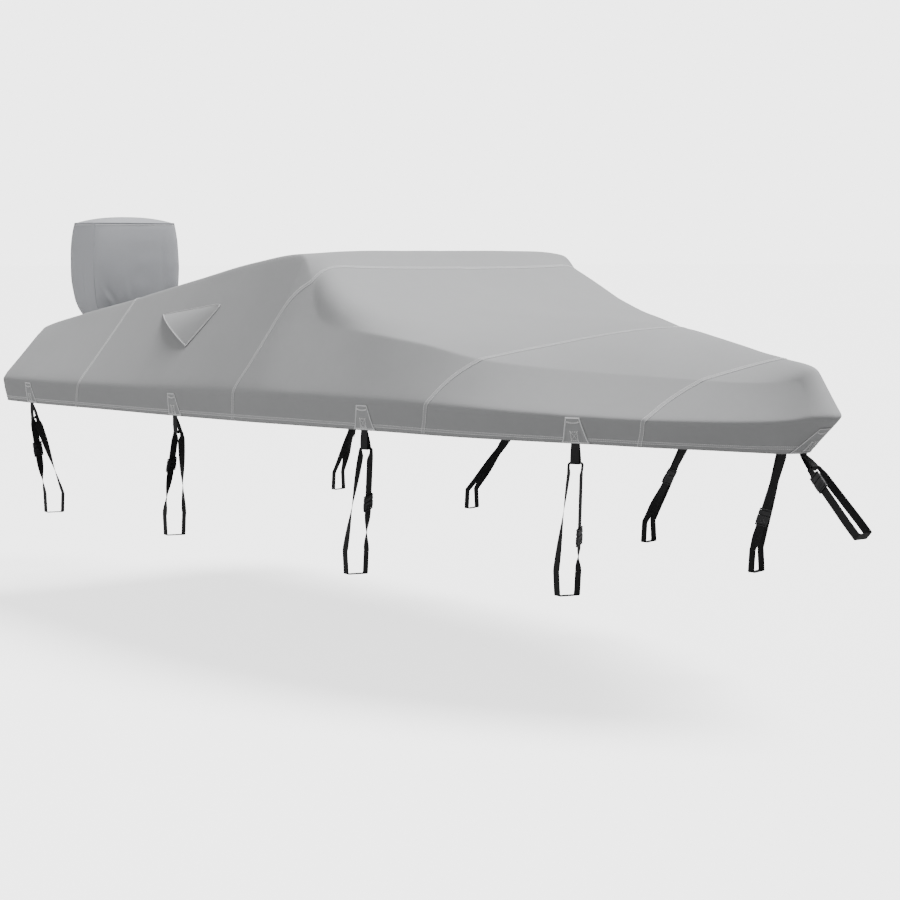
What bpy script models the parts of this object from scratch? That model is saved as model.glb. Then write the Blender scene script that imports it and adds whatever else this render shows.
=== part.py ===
"""Tie-down boat cover with its matching motor hood, drawn as it lies when fitted.

The cover is one taut sheet: a high cross ridge amidships, a slope and a crowned
foredeck before it, a long falling back behind it, flared sides down to a rim
crease, and a skirt that tucks in to the hem. Nine tab patches stand along the
hem, four a side and one at the bow. Each holds a webbing loop, and through each
loop runs a closed strap with its buckle. A triangular vent hood is sewn on
either side, and the motor hood stands by itself behind the stern.

Metres. +X runs to the bow, +Z up, and starboard is -Y. The origin is under the
cloth at the middle of the cross ridge. Heights in the tables are measured from
the hem's lowest line, and heights() turns them into the frame's Z.
"""

import bmesh
import bpy
from math import cos, pi, radians, sin
from mathutils import Vector
from mathutils.bvhtree import BVHTree

# ------------------------------------------------------------- driving sizes

CLOTH = 0.002  # wall of the cover and the motor hood
PATCH = 0.0012  # wall of a tab patch
WEB = 0.0015  # thickness of all webbing
GAP = 0.0004  # clearance between sewn or threaded pieces
PATCH_GAP = 0.0007  # clearance of a patch over the curved skirt
RIDGE_HEIGHT = 0.872  # top of the cross ridge above the hem's lowest line

# Shoulder: where the top turns down into the sides. A row for each fold line.
# along, half width, height, height at the middle, power of the crown
SHOULDER = (
    (-2.70, 0.890, 0.408, 0.400, 2.0),  # stern edge
    (-2.65, 0.920, 0.426, 0.416, 2.0),
    (-2.23, 0.885, 0.515, 0.498, 2.0),
    (-1.67, 0.850, 0.611, 0.588, 2.0),  # first cross seam
    (-0.97, 0.840, 0.734, 0.712, 2.0),
    (-0.45, 0.840, 0.818, 0.812, 2.5),
    (-0.06, 0.840, 0.856, 0.870, 4.0),
    (0.00, 0.845, 0.845, 0.872, 8.0),  # cross ridge
    (0.08, 0.862, 0.757, 0.829, 12.0),
    (0.16, 0.898, 0.645, 0.783, 18.0),  # second cross seam
    (0.27, 0.936, 0.552, 0.718, 20.0),
    (0.45, 0.948, 0.512, 0.639, 16.0),
    (0.72, 0.934, 0.488, 0.573, 8.0),  # soft valley
    (1.00, 0.872, 0.452, 0.550, 3.2),
    (1.30, 0.768, 0.387, 0.545, 2.1),  # third cross seam
    (1.53, 0.640, 0.358, 0.540, 1.75),
    (1.75, 0.520, 0.341, 0.526, 1.6),
    (1.95, 0.418, 0.330, 0.498, 1.45),
    (2.15, 0.312, 0.320, 0.464, 1.3),  # fourth cross seam
    (2.30, 0.232, 0.314, 0.435, 1.25),
    (2.45, 0.150, 0.312, 0.411, 1.3),
    (2.52, 0.106, 0.316, 0.399, 1.5),
    (2.58, 0.066, 0.326, 0.384, 2.0),  # bow corner
)

# Rim crease: along, half width, height.
RIM = (
    (-2.785, 1.120, 0.129),
    (-2.74, 1.155, 0.130),
    (-2.58, 1.177, 0.133),
    (-2.18, 1.190, 0.137),
    (-1.46, 1.198, 0.150),
    (-0.91, 1.200, 0.164),
    (-0.12, 1.190, 0.188),
    (0.40, 1.147, 0.196),
    (0.80, 1.077, 0.194),
    (1.30, 0.939, 0.182),
    (1.61, 0.810, 0.168),
    (1.95, 0.628, 0.154),
    (2.17, 0.496, 0.148),
    (2.44, 0.310, 0.146),
    (2.60, 0.174, 0.153),
    (2.685, 0.095, 0.172),
)

# Hem: along, half width, height.
HEM = (
    (-2.775, 1.090, 0.000),
    (-2.73, 1.125, 0.000),
    (-2.57, 1.147, 0.002),
    (-2.18, 1.160, 0.007),
    (-1.46, 1.168, 0.019),
    (-0.91, 1.170, 0.026),
    (-0.12, 1.160, 0.038),
    (0.40, 1.116, 0.045),
    (0.80, 1.044, 0.047),
    (1.27, 0.906, 0.042),
    (1.57, 0.776, 0.038),
    (1.90, 0.594, 0.033),
    (2.08, 0.486, 0.028),
    (2.30, 0.292, 0.019),
    (2.42, 0.178, 0.013),
    (2.495, 0.102, 0.009),
)

# Steps of the loft along the shoulder: from, to, number of steps.
STEPS_ALONG = (
    (-2.70, -2.50, 4),
    (-2.50, -0.30, 13),
    (-0.30, -0.06, 2),
    (-0.06, 0.15, 4),
    (0.15, 1.02, 7),
    (1.02, 2.30, 9),
    (2.30, 2.58, 4),
)
STEPS_ACROSS = 16
STEPS_SIDE = 4  # shoulder to rim
STEPS_SKIRT = 2  # rim to hem
NOSE_TOP, NOSE_RIM, NOSE_HEM = 0.025, 0.045, 0.047  # bow end, rounded out

# Motor hood, in rings from hem to top edge: height, half depth, half width.
HOOD_AT = -3.33  # its middle, along
HOOD_RINGS = (
    (0.435, 0.150, 0.232),  # gathered hem
    (0.460, 0.162, 0.249),
    (0.510, 0.181, 0.279),
    (0.580, 0.196, 0.302),
    (0.680, 0.204, 0.313),
    (0.800, 0.207, 0.317),
    (0.920, 0.203, 0.313),
    (1.000, 0.196, 0.304),
    (1.048, 0.188, 0.295),  # top seam
)
HOOD_CROWN = 0.040  # rise of the top above its seam
HOOD_ROUND = 32  # points in a ring
HOOD_SQUARE = 5.0  # power of the ring's rounded rectangle

# Tabs, loops and straps
TAB_HEIGHT = 0.118
TAB_FOOT = 0.136  # width at the hem
TAB_HEAD = 0.068  # width at the top
SEWN = 0.050  # webbing held under the patch
LOOP_WIDTH = 0.042
LOOP_DROP = 0.088  # hem to the loop's end
STRAP_WIDTH = 0.042
BUNCHED = 0.022  # the strap drawn together where it runs through a loop
SPREAD = 0.045  # from the loop to where a leg lies flat again
BEND = 0.006  # bend radius of a strap
FOLD = 0.003  # bend radius of a loop's two folds
FOOT_DEEP = 0.095  # the strap's lower end spans this much inboard
FOOT_HIGH = 0.110

# Side sites: tab along, strap foot along, its outer face off the middle,
# height of its underside, leg with the buckle (+1 fore), and the buckle's drop.
SITES = (
    (-2.345, -2.400, 1.050, -0.640, -1, 0.185),
    (-0.710, -1.020, 1.050, -0.630, -1, 0.212),
    (0.796, 0.570, 0.990, -0.655, 1, 0.292),
    (1.813, 1.700, 0.640, -0.650, 1, 0.340),
)
BOW_SLANT = radians(43)  # the bow strap's pull below the level
BOW_REACH = 0.300  # its legs
BOW_FOOT = 0.080
BOW_BUCKLE = 0.070  # the buckle's drop on one leg

# Side release buckle: along the strap, half width, half thickness.
BUCKLE = (
    (-0.042, 0.0250, 0.0042),
    (-0.037, 0.0280, 0.0066),
    (-0.012, 0.0284, 0.0072),
    (-0.008, 0.0256, 0.0062),
    (0.007, 0.0256, 0.0062),
    (0.011, 0.0284, 0.0072),
    (0.034, 0.0278, 0.0066),
    (0.042, 0.0248, 0.0042),
)

# Vent hood on the side panel: three corners as along, height.
VENT_AFT = (-1.21, 0.530)
VENT_FORE = (-0.60, 0.600)
VENT_LOW = (-0.76, 0.375)
VENT_RISE = 0.034  # how far its open edge stands off
VENT_STEPS = 8


# ------------------------------------------------------------------ helpers


def heights(h):
    """Z in the frame of a height above the hem's lowest line."""
    return h - RIDGE_HEIGHT + CLOTH


def table_at(table, x):
    """The other columns of a table at x, joined by smooth monotone cubics."""
    rows = len(table)
    k = 0
    while k < rows - 2 and x > table[k + 1][0]:
        k += 1

    def chord(i, c):
        a, b = table[i], table[i + 1]
        return (b[c] - a[c]) / (b[0] - a[0])

    def slope(i, c):
        if i == 0 or i == rows - 1:
            return chord(min(i, rows - 2), c)
        before, after = chord(i - 1, c), chord(i, c)
        if before * after <= 0.0:
            return 0.0
        return 2.0 * before * after / (before + after)

    low, high = table[k], table[k + 1]
    span = high[0] - low[0]
    u = min(max((x - low[0]) / span, 0.0), 1.0)
    out = []
    for c in range(1, len(low)):
        m0, m1 = slope(k, c) * span, slope(k + 1, c) * span
        out.append(
            low[c] * (1 + 2 * u) * (1 - u) ** 2
            + m0 * u * (1 - u) ** 2
            + high[c] * u * u * (3 - 2 * u)
            + m1 * u * u * (u - 1)
        )
    return out


def along_of(table, fraction):
    """Where a fraction of the cover's length lies on a table's own line."""
    return table[0][0] + fraction * (table[-1][0] - table[0][0])


def material(name, colour, roughness):
    """A plain Principled material."""
    mat = bpy.data.materials.new(name)
    mat.use_nodes = True
    shader = mat.node_tree.nodes["Principled BSDF"]
    shader.inputs["Base Color"].default_value = (*colour, 1.0)
    shader.inputs["Roughness"].default_value = roughness
    shader.inputs["Metallic"].default_value = 0.0
    return mat


def add_object(name, bm, mat, collection):
    """Links a bmesh as a named object with one material."""
    mesh = bpy.data.meshes.new(name)
    bm.to_mesh(mesh)
    bm.free()
    obj = bpy.data.objects.new(name, mesh)
    mesh.materials.append(mat)
    collection.objects.link(obj)
    return obj


def solid_from_layers(inner, outer, closed_rows=False):
    """A closed solid between two matching grids of points."""
    bm = bmesh.new()
    rows, cols = len(inner), len(inner[0])
    low = [[bm.verts.new(p) for p in row] for row in inner]
    top = [[bm.verts.new(p) for p in row] for row in outer]
    last = rows if closed_rows else rows - 1
    for i in range(last):
        n = (i + 1) % rows
        for j in range(cols - 1):
            for grid in (low, top):
                a, b, c, d = grid[i][j], grid[i][j + 1], grid[n][j + 1], grid[n][j]
                bm.faces.new((a, b, c))
                bm.faces.new((a, c, d))
        for j in (0, cols - 1):
            bm.faces.new((low[i][j], low[n][j], top[n][j], top[i][j]))
    if not closed_rows:
        for i in (0, rows - 1):
            for j in range(cols - 1):
                bm.faces.new((low[i][j], low[i][j + 1], top[i][j + 1], top[i][j]))
    bmesh.ops.recalc_face_normals(bm, faces=bm.faces)
    return bm


def shell_thickness(obj):
    """Cloth wall, grown inward from the drawn outer face."""
    wall = obj.modifiers.new("Wall", "SOLIDIFY")
    wall.thickness = CLOTH
    wall.offset = -1.0
    wall.use_even_offset = True


def across(point, side):
    """A starboard point, or its mirror image for the port side."""
    return Vector((point[0], point[1] * side, point[2]))


# --------------------------------------------------------------- the cover


def station_fractions():
    """Fractions of the length where the loft has its sections."""
    start, end = SHOULDER[0][0], SHOULDER[-1][0]
    marks = [start]
    for low, high, steps in STEPS_ALONG:
        marks += [low + (high - low) * (k + 1) / steps for k in range(steps)]
    return [(x - start) / (end - start) for x in marks]


def nose(bulge, fraction, t):
    """How far the bow end, and only that, stands out at t."""
    return bulge * (1.0 - t * t) if fraction > 0.999 else 0.0


def top_point(fraction, t):
    """Point of the top at t from starboard (-1) to port (+1)."""
    x = along_of(SHOULDER, fraction)
    half, edge, middle, power = table_at(SHOULDER, x)
    h = edge + (middle - edge) * (1.0 - abs(t) ** power)
    return Vector((x + nose(NOSE_TOP, fraction, t), half * t, heights(h)))


def line_point(table, bulge, fraction, t):
    """Point of the rim or hem line, with the bow end rounded out."""
    x = along_of(table, fraction)
    half, h = table_at(table, x)
    return Vector((x + nose(bulge, fraction, t), half * t, heights(h)))


def cover_surface():
    """The cover's outer face as an open triangle mesh."""
    bm = bmesh.new()
    stations = station_fractions()
    spread = [sin(0.5 * pi * (2.0 * j / STEPS_ACROSS - 1.0)) for j in range(STEPS_ACROSS + 1)]
    last, far = len(stations) - 1, STEPS_ACROSS
    top = [[bm.verts.new(top_point(f, t)) for t in spread] for f in stations]

    border = [(0, j) for j in range(far + 1)]
    border += [(i, far) for i in range(1, last + 1)]
    border += [(last, j) for j in range(far - 1, -1, -1)]
    border += [(i, 0) for i in range(last - 1, 0, -1)]

    rings = [[top[i][j] for i, j in border]]
    for k in range(1, STEPS_SIDE + STEPS_SKIRT + 1):
        ring = []
        for i, j in border:
            upper, f, t = top[i][j].co, stations[i], spread[j]
            rim = line_point(RIM, NOSE_RIM, f, t)
            hem = line_point(HEM, NOSE_HEM, f, t)
            if k <= STEPS_SIDE:
                point = upper.lerp(rim, k / STEPS_SIDE)
            else:
                point = rim.lerp(hem, (k - STEPS_SIDE) / STEPS_SKIRT)
            ring.append(bm.verts.new(point))
        rings.append(ring)

    def quad(a, b, c, d):
        """Two triangles, split so that port mirrors starboard."""
        if a.co.y + b.co.y + c.co.y + d.co.y > 0.0:
            a, b, c, d = b, c, d, a
        bm.faces.new((a, b, c))
        bm.faces.new((a, c, d))

    for i in range(last):
        for j in range(far):
            quad(top[i][j], top[i + 1][j], top[i + 1][j + 1], top[i][j + 1])
    for upper, lower in zip(rings, rings[1:]):
        for k in range(len(border)):
            n = (k + 1) % len(border)
            quad(upper[k], upper[n], lower[n], lower[k])
    bm.normal_update()
    return bm


class Skin:
    """The cover's outer face, for seating what is sewn on it."""

    def __init__(self, bm):
        self.tree = BVHTree.FromBMesh(bm)

    def under(self, start, direction):
        """Where a ray from outside meets the cloth, and the cloth's normal."""
        hit, normal = self.tree.ray_cast(start, direction)[:2]
        if hit is None:
            raise RuntimeError("a sewn piece reaches past the cloth")
        return hit, normal


# ----------------------------------------------------------- tabs and loops


class Site:
    """Local frame of one tab: t along the hem, n level outward, pull down."""

    def __init__(self, skin, hem_point, t, slant):
        self.skin = skin
        self.hem = hem_point
        self.t = t.normalized()
        self.n = Vector((self.t.y, -self.t.x, 0.0))
        ends = [self.on_skirt(0.5 * LOOP_WIDTH * c, 0.02)[0] for c in (-1, 1)]
        self.t = ends[1] - ends[0]
        self.t.z = 0.0
        self.t.normalize()
        self.n = Vector((self.t.y, -self.t.x, 0.0))
        up = Vector((0.0, 0.0, 1.0))
        self.pull = self.n * cos(slant) - up * sin(slant)
        self.face = self.n * sin(slant) + up * cos(slant)

    def on_skirt(self, along, rise):
        """Point of the skirt and its normal."""
        up = Vector((0.0, 0.0, rise))
        start = self.hem + self.t * along + self.n * 0.25 + up
        return self.skin.under(start, -self.n)

    def on_seat(self, rise, lift):
        """Point over the middle, clear of the cloth over the webbing's width."""
        middle = self.on_skirt(0.0, rise)[0]
        columns = (-0.5, -0.25, 0.0, 0.25, 0.5)
        hits = [self.on_skirt(c * LOOP_WIDTH, rise)[0] for c in columns]
        proud = max((hit - middle).dot(self.n) for hit in hits)
        return middle + self.n * (proud + lift)

    def below(self, along, down, out):
        """Point under the hem, along the pull and square to it."""
        edge = self.on_seat(0.001, 0.0) - Vector((0.0, 0.0, 0.001))
        return edge + self.t * along + self.pull * down + self.face * out


def side_site(skin, x, foot_y, foot_z):
    """The starboard site at x, its pull aimed at the strap's foot."""
    step = 0.02
    half, h = table_at(HEM, x)
    ahead, behind = table_at(HEM, x + step), table_at(HEM, x - step)
    hem_point = Vector((x, -half, heights(h)))
    t = Vector((2.0 * step, behind[0] - ahead[0], 0.0))
    inward = half - foot_y
    drop = h - foot_z
    slant = 0.5 * pi + min(inward / drop, 0.35)
    return Site(skin, hem_point, t, slant)


def bow_site(skin):
    x = HEM[-1][0] + NOSE_HEM
    hem_point = Vector((x, 0.0, heights(HEM[-1][2])))
    return Site(skin, hem_point, Vector((0.0, 1.0, 0.0)), BOW_SLANT)


def ease(u):
    """0 to 1 with level ends."""
    u = min(max(u, 0.0), 1.0)
    return u * u * (3.0 - 2.0 * u)


def tab_solid(site, side):
    """Patch that lies on the skirt and humps over the webbing under it."""
    hump = 2.0 * (WEB + GAP)
    flank = 0.5 * LOOP_WIDTH + 0.001
    shares = (-1.0, -0.7, -0.35, 0.0)  # edge of the patch to the webbing's edge
    inner, outer = [], []
    for v in (0.0, 0.24, 0.43, 0.60, 1.0):
        half = 0.5 * (TAB_FOOT + (TAB_HEAD - TAB_FOOT) * v)
        rise = 0.002 + v * TAB_HEIGHT
        past_end = ease((rise - SEWN - 0.002) / 0.018)
        columns = [(flank - (half - flank) * s, 1.0 + s / 0.7) for s in shares]
        columns = [(-t, max(w, 0.0)) for t, w in columns] + [(-0.5 * flank, 1.0)]
        columns += [(0.0, 1.0)] + [(-t, w) for t, w in reversed(columns)]
        low, top = [], []
        for along, weight in columns:
            cloth, normal = site.on_skirt(along, rise)
            cloth = cloth + normal * PATCH_GAP
            over = (site.on_seat(rise, GAP + hump) - cloth).dot(site.n)
            over *= ease(weight) * (1.0 - past_end)
            low.append(across(cloth + site.n * over, side))
            top.append(across(cloth + site.n * over + normal * PATCH, side))
        inner.append(low)
        outer.append(top)
    return solid_from_layers(inner, outer)


def ribbon(path, closed=False):
    """Webbing along a path of (point, width direction, width)."""
    count = len(path)
    inner, outer = [], []
    for k, (point, wide, width) in enumerate(path):
        before = path[(k - 1) % count][0] if closed or k else point
        after = path[(k + 1) % count][0] if closed or k < count - 1 else point
        run = (after - before).normalized()
        wide = (wide - run * wide.dot(run)).normalized()
        thick = run.cross(wide) * (0.5 * WEB)
        reach = wide * (0.5 * width)
        inner.append([point - reach - thick, point + reach - thick])
        outer.append([point - reach + thick, point + reach + thick])
    return solid_from_layers(inner, outer, closed_rows=closed)


def bend(centre, axis_a, axis_b, radius, steps=3):
    """Points of a quarter bend from centre + a to centre + b."""
    out = []
    for k in range(steps + 1):
        turn = 0.5 * pi * k / steps
        out.append(centre + (axis_a * cos(turn) + axis_b * sin(turn)) * radius)
    return out


def loop_path(site):
    """Side view of a webbing loop: up under the patch, round, and up again."""
    low, high = GAP + 0.5 * WEB, 1.5 * WEB + 2.0 * GAP
    flat = 0.5 * BUNCHED + GAP  # half of the level end under the strap
    path = [(SEWN, low), (0.022, low), (0.002, low)]
    back = [site.on_seat(rise, lift) for rise, lift in path]
    path = [(0.002, high), (0.022, high), (SEWN, high)]
    front = [site.on_seat(rise, lift) for rise, lift in path]
    below_low = back[-1] - Vector((0.0, 0.0, 0.006))
    below_high = front[0] - Vector((0.0, 0.0, 0.006))
    turn_back = site.below(0.0, LOOP_DROP - FOLD, -flat)
    turn_front = site.below(0.0, LOOP_DROP - FOLD, flat)
    round_back = bend(turn_back, -site.face, site.pull, FOLD)
    round_front = bend(turn_front, site.pull, site.face, FOLD)
    return back + [below_low] + round_back + round_front + [below_high] + front


def loop_solid(site, side):
    """The loop as webbing whose width runs along the hem."""
    wide = across(site.t, side)
    return ribbon([(across(p, side), wide, LOOP_WIDTH) for p in loop_path(site)])


# ------------------------------------------------------------------- straps


def leg(top, foot, wide_top, wide_foot, calm_until, steps=6):
    """A strap leg below its top: it spreads, and twists past calm_until."""
    length = (foot - top).length
    spread, calm = SPREAD / length, calm_until / length
    out = [(top.lerp(foot, spread), wide_top, STRAP_WIDTH)]
    if calm > spread:
        out.append((top.lerp(foot, calm), wide_top, STRAP_WIDTH))
    start = max(spread, calm)
    for k in range(1, steps + 1):
        u = start + (1.0 - start) * k / steps
        wide = wide_top.slerp(wide_foot, ease(k / steps))
        out.append((top.lerp(foot, u), wide, STRAP_WIDTH))
    return out


def strap_head(site):
    """Points of the strap over the inside of the loop's end, aft to fore."""
    sit = LOOP_DROP - 0.5 * WEB - GAP - 0.5 * WEB
    half = 0.5 * LOOP_WIDTH + BEND
    middle = site.below(0.0, sit, 0.0)
    back = -site.pull
    aft_turn = middle - site.t * (half - BEND) + site.pull * BEND
    fore_turn = middle + site.t * (half - BEND) + site.pull * BEND
    aft = bend(aft_turn, -site.t, back, BEND)
    fore = bend(fore_turn, back, site.t, BEND)
    return aft, fore


def side_strap(site, row):
    """Closed path of a side strap and the frame of its buckle."""
    foot_x, foot_y, foot_h, buckle_leg, drop = row[1:]
    wide = -site.face if site.face.dot(site.n) < 0.0 else site.face
    aft, fore = strap_head(site)
    z = heights(foot_h)
    near, inboard = -foot_y, -foot_y + FOOT_DEEP
    shift = 0.020
    level = Vector((1.0, 0.0, 0.0))
    out, inn = Vector((0.0, -1.0, 0.0)), Vector((0.0, 1.0, 0.0))
    down = Vector((0.0, 0.0, -1.0))
    fore_foot = Vector((foot_x + shift, inboard, z + FOOT_HIGH))
    aft_foot = Vector((foot_x - shift, near, z + FOOT_HIGH))
    under_in = Vector((foot_x + 0.6 * shift, inboard - BEND, z + BEND))
    under_out = Vector((foot_x - 0.6 * shift, near + BEND, z + BEND))
    calm = {-1: 0.0, 1: 0.0}
    calm[buckle_leg] = drop + 0.055
    path = [(p, wide, BUNCHED) for p in aft + fore]
    path += leg(fore[-1], fore_foot, wide, level, calm[1])
    path += [(p, level, STRAP_WIDTH) for p in bend(under_in, inn, down, BEND)]
    path += [(p, level, STRAP_WIDTH) for p in bend(under_out, down, out, BEND)]
    path += leg(aft[0], aft_foot, wide, level, calm[-1])[::-1]
    top, foot = (fore[-1], fore_foot) if buckle_leg > 0 else (aft[0], aft_foot)
    return path, buckle_frame(top, foot, wide, drop)


def bow_strap(site):
    """The bow strap's flat closed path and its buckle's frame."""
    wide = site.face
    aft, fore = strap_head(site)
    far = site.below(0.0, LOOP_DROP + BOW_REACH, 0.0)
    half = 0.5 * BOW_FOOT
    corner = half - BEND
    deep = site.pull * (BOW_FOOT - BEND)
    ends = [far - site.t * half, far + site.t * half]
    path = [(p, wide, BUNCHED) for p in aft + fore]
    path += leg(fore[-1], ends[1], wide, wide, 0.0, steps=1)
    for side, first in ((1.0, site.t), (-1.0, site.pull)):
        centre = far + site.t * (corner * side) + deep
        second = site.pull if side > 0.0 else -site.t
        path += [(p, wide, STRAP_WIDTH) for p in bend(centre, first, second, BEND)]
    path += leg(aft[0], ends[0], wide, wide, 0.0, steps=1)[::-1]
    return path, buckle_frame(aft[0], ends[0], wide, BOW_BUCKLE)


def buckle_frame(top, foot, wide, drop):
    """Middle, run, width and thickness directions of a buckle on a leg."""
    run = (foot - top).normalized()
    wide = (wide - run * wide.dot(run)).normalized()
    return top + run * drop, run, wide, run.cross(wide)


def buckle_solid(frame, side):
    """Buckle with the slot that its strap runs through."""
    middle, run, wide, thick = frame
    slot = (0.5 * STRAP_WIDTH + GAP, 0.5 * WEB + GAP)
    corners = ((-1, -1), (1, -1), (1, 1), (-1, 1))
    bm = bmesh.new()
    outer, inner = [], []
    for along, half, deep in BUCKLE:
        base = middle + run * along
        for ring, (a, b) in ((outer, (half, deep)), (inner, slot)):
            points = [base + wide * (a * i) + thick * (b * j) for i, j in corners]
            ring.append([bm.verts.new(across(p, side)) for p in points])
    for rings in (outer, inner):
        for low, high in zip(rings, rings[1:]):
            for k in range(4):
                n = (k + 1) % 4
                bm.faces.new((low[k], low[n], high[n], high[k]))
    for end in (0, -1):
        for k in range(4):
            n = (k + 1) % 4
            bm.faces.new((outer[end][k], outer[end][n], inner[end][n], inner[end][k]))
    bmesh.ops.recalc_face_normals(bm, faces=bm.faces)
    return bm


# -------------------------------------------------------------------- vents


def vent_solid(skin, side):
    """Three-cornered flap, closed on two edges and standing open on the third."""

    def at(along, height, lift):
        start = Vector((along, -2.0, heights(height)))
        hit, normal = skin.under(start, Vector((0.0, 1.0, 0.0)))
        return across(hit + normal * lift, side)

    inner, outer = [], []
    for i in range(VENT_STEPS + 1):
        toward = 0.97 * i / VENT_STEPS  # open edge to the closed corner
        low, top = [], []
        for j in range(VENT_STEPS + 1):
            s = j / VENT_STEPS
            edge = [a + (b - a) * s for a, b in zip(VENT_AFT, VENT_LOW)]
            along, h = [e + (c - e) * toward for e, c in zip(edge, VENT_FORE)]
            lift = GAP + VENT_RISE * 4.0 * s * (1.0 - s) * (1.0 - toward) ** 1.3
            low.append(at(along, h, lift))
            top.append(at(along, h, lift + PATCH))
        inner.append(low)
        outer.append(top)
    return solid_from_layers(inner, outer)


# --------------------------------------------------------------- motor hood


def hood_ring(half_x, half_y):
    """A rounded rectangle, as x and y off the hood's middle."""
    out = []
    for k in range(HOOD_ROUND):
        turn = 2.0 * pi * (k + 0.5) / HOOD_ROUND
        c, s = cos(turn), sin(turn)
        r = (abs(c) ** HOOD_SQUARE + abs(s) ** HOOD_SQUARE) ** (-1.0 / HOOD_SQUARE)
        out.append((half_x * c * r, half_y * s * r))
    return out


def hood_surface():
    """The hood's outer face, open at its hem."""
    bm = bmesh.new()
    levels = [(h, a, b) for h, a, b in HOOD_RINGS]
    seam, depth, width = levels[-1]
    for share in (0.86, 0.62, 0.32):
        rise = HOOD_CROWN * (1.0 - share**2.4)
        levels.append((seam + rise, depth * share, width * share))
    rings = []
    for h, a, b in levels:
        ring = [(HOOD_AT + x, y, heights(h)) for x, y in hood_ring(a, b)]
        rings.append([bm.verts.new(p) for p in ring])
    for low, high in zip(rings, rings[1:]):
        for k in range(HOOD_ROUND):
            n = (k + 1) % HOOD_ROUND
            bm.faces.new((low[k], low[n], high[n]))
            bm.faces.new((low[k], high[n], high[k]))
    tip = bm.verts.new((HOOD_AT, 0.0, heights(seam + HOOD_CROWN)))
    for k in range(HOOD_ROUND):
        bm.faces.new((rings[-1][k], rings[-1][(k + 1) % HOOD_ROUND], tip))
    bm.normal_update()
    return bm


# ----------------------------------------------------------------- assembly


def clear_scene():
    for obj in list(bpy.data.objects):
        bpy.data.objects.remove(obj, do_unlink=True)


def main():
    clear_scene()
    collection = bpy.data.collections.new("boat_cover")
    bpy.context.scene.collection.children.link(collection)
    cloth = material("grey_woven_cloth", (0.330, 0.333, 0.338), 0.85)
    hood_cloth = material("hood_woven_cloth", (0.345, 0.352, 0.372), 0.85)
    patch = material("patch_cloth", (0.300, 0.303, 0.308), 0.85)
    webbing = material("black_webbing", (0.018, 0.018, 0.020), 0.75)
    plastic = material("black_plastic", (0.022, 0.022, 0.024), 0.45)

    surface = cover_surface()
    skin = Skin(surface)
    shell_thickness(add_object("cover", surface, cloth, collection))
    shell_thickness(add_object("motor_hood", hood_surface(), hood_cloth, collection))

    for side, word in ((1, "starboard"), (-1, "port")):
        add_object(f"vent_{word}", vent_solid(skin, side), cloth, collection)

    places = []
    for number, row in enumerate(SITES, start=1):
        site = side_site(skin, row[0], row[2], row[3])
        path, frame = side_strap(site, row)
        for side, word in ((1, "starboard"), (-1, "port")):
            places.append((f"{word}_{number}", site, side, path, frame))
    site = bow_site(skin)
    places.append(("bow", site, 1, *bow_strap(site)))

    for place, site, side, path, frame in places:
        mirrored = [(across(p, side), across(w, side), size) for p, w, size in path]
        strap = ribbon(mirrored, closed=True)
        add_object(f"tab_{place}", tab_solid(site, side), patch, collection)
        add_object(f"loop_{place}", loop_solid(site, side), webbing, collection)
        add_object(f"strap_{place}", strap, webbing, collection)
        add_object(f"buckle_{place}", buckle_solid(frame, side), plastic, collection)


main()
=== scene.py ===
"""Looks of a fitted boat cover with its motor hood, straps, tabs and vents.

Metres. +X runs to the bow, +Z up, starboard is -Y, and the origin is under the
cloth at the middle of the cross ridge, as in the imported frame.
"""

from math import cos, hypot, pi, radians, sin

import bmesh
import bpy
from bpy.props import FloatProperty, FloatVectorProperty, PointerProperty
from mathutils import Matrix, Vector, noise
from mathutils.bvhtree import BVHTree


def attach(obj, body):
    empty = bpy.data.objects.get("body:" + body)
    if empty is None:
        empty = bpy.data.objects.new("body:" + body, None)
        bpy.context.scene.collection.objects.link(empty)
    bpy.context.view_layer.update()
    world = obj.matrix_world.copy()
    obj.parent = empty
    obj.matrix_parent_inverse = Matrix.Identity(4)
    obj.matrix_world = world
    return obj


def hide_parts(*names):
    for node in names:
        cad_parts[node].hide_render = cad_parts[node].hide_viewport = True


bl_info = {
    "name": "Fitted Boat Cover",
    "version": (1, 0, 0),
    "blender": (4, 5, 0),
    "location": "3D View > Sidebar > Boat Cover",
    "description": "Builds the cloth, webbing, buckles and sewing of a fitted boat cover",
    "category": "Object",
}

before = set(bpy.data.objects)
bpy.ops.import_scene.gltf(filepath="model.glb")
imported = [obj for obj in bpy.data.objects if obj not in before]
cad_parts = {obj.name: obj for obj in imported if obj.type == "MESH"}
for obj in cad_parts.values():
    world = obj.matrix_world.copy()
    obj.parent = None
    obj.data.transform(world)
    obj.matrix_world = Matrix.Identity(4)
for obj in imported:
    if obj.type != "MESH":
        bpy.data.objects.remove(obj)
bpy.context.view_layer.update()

# ------------------------------------------------------------- driving sizes

# Thickness of the cloth, of a patch and of webbing, and the gap between layers.
CLOTH, PATCH, WEB, GAP = 0.002, 0.0012, 0.0015, 0.0004
RIDGE_HEIGHT = 0.872

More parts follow.
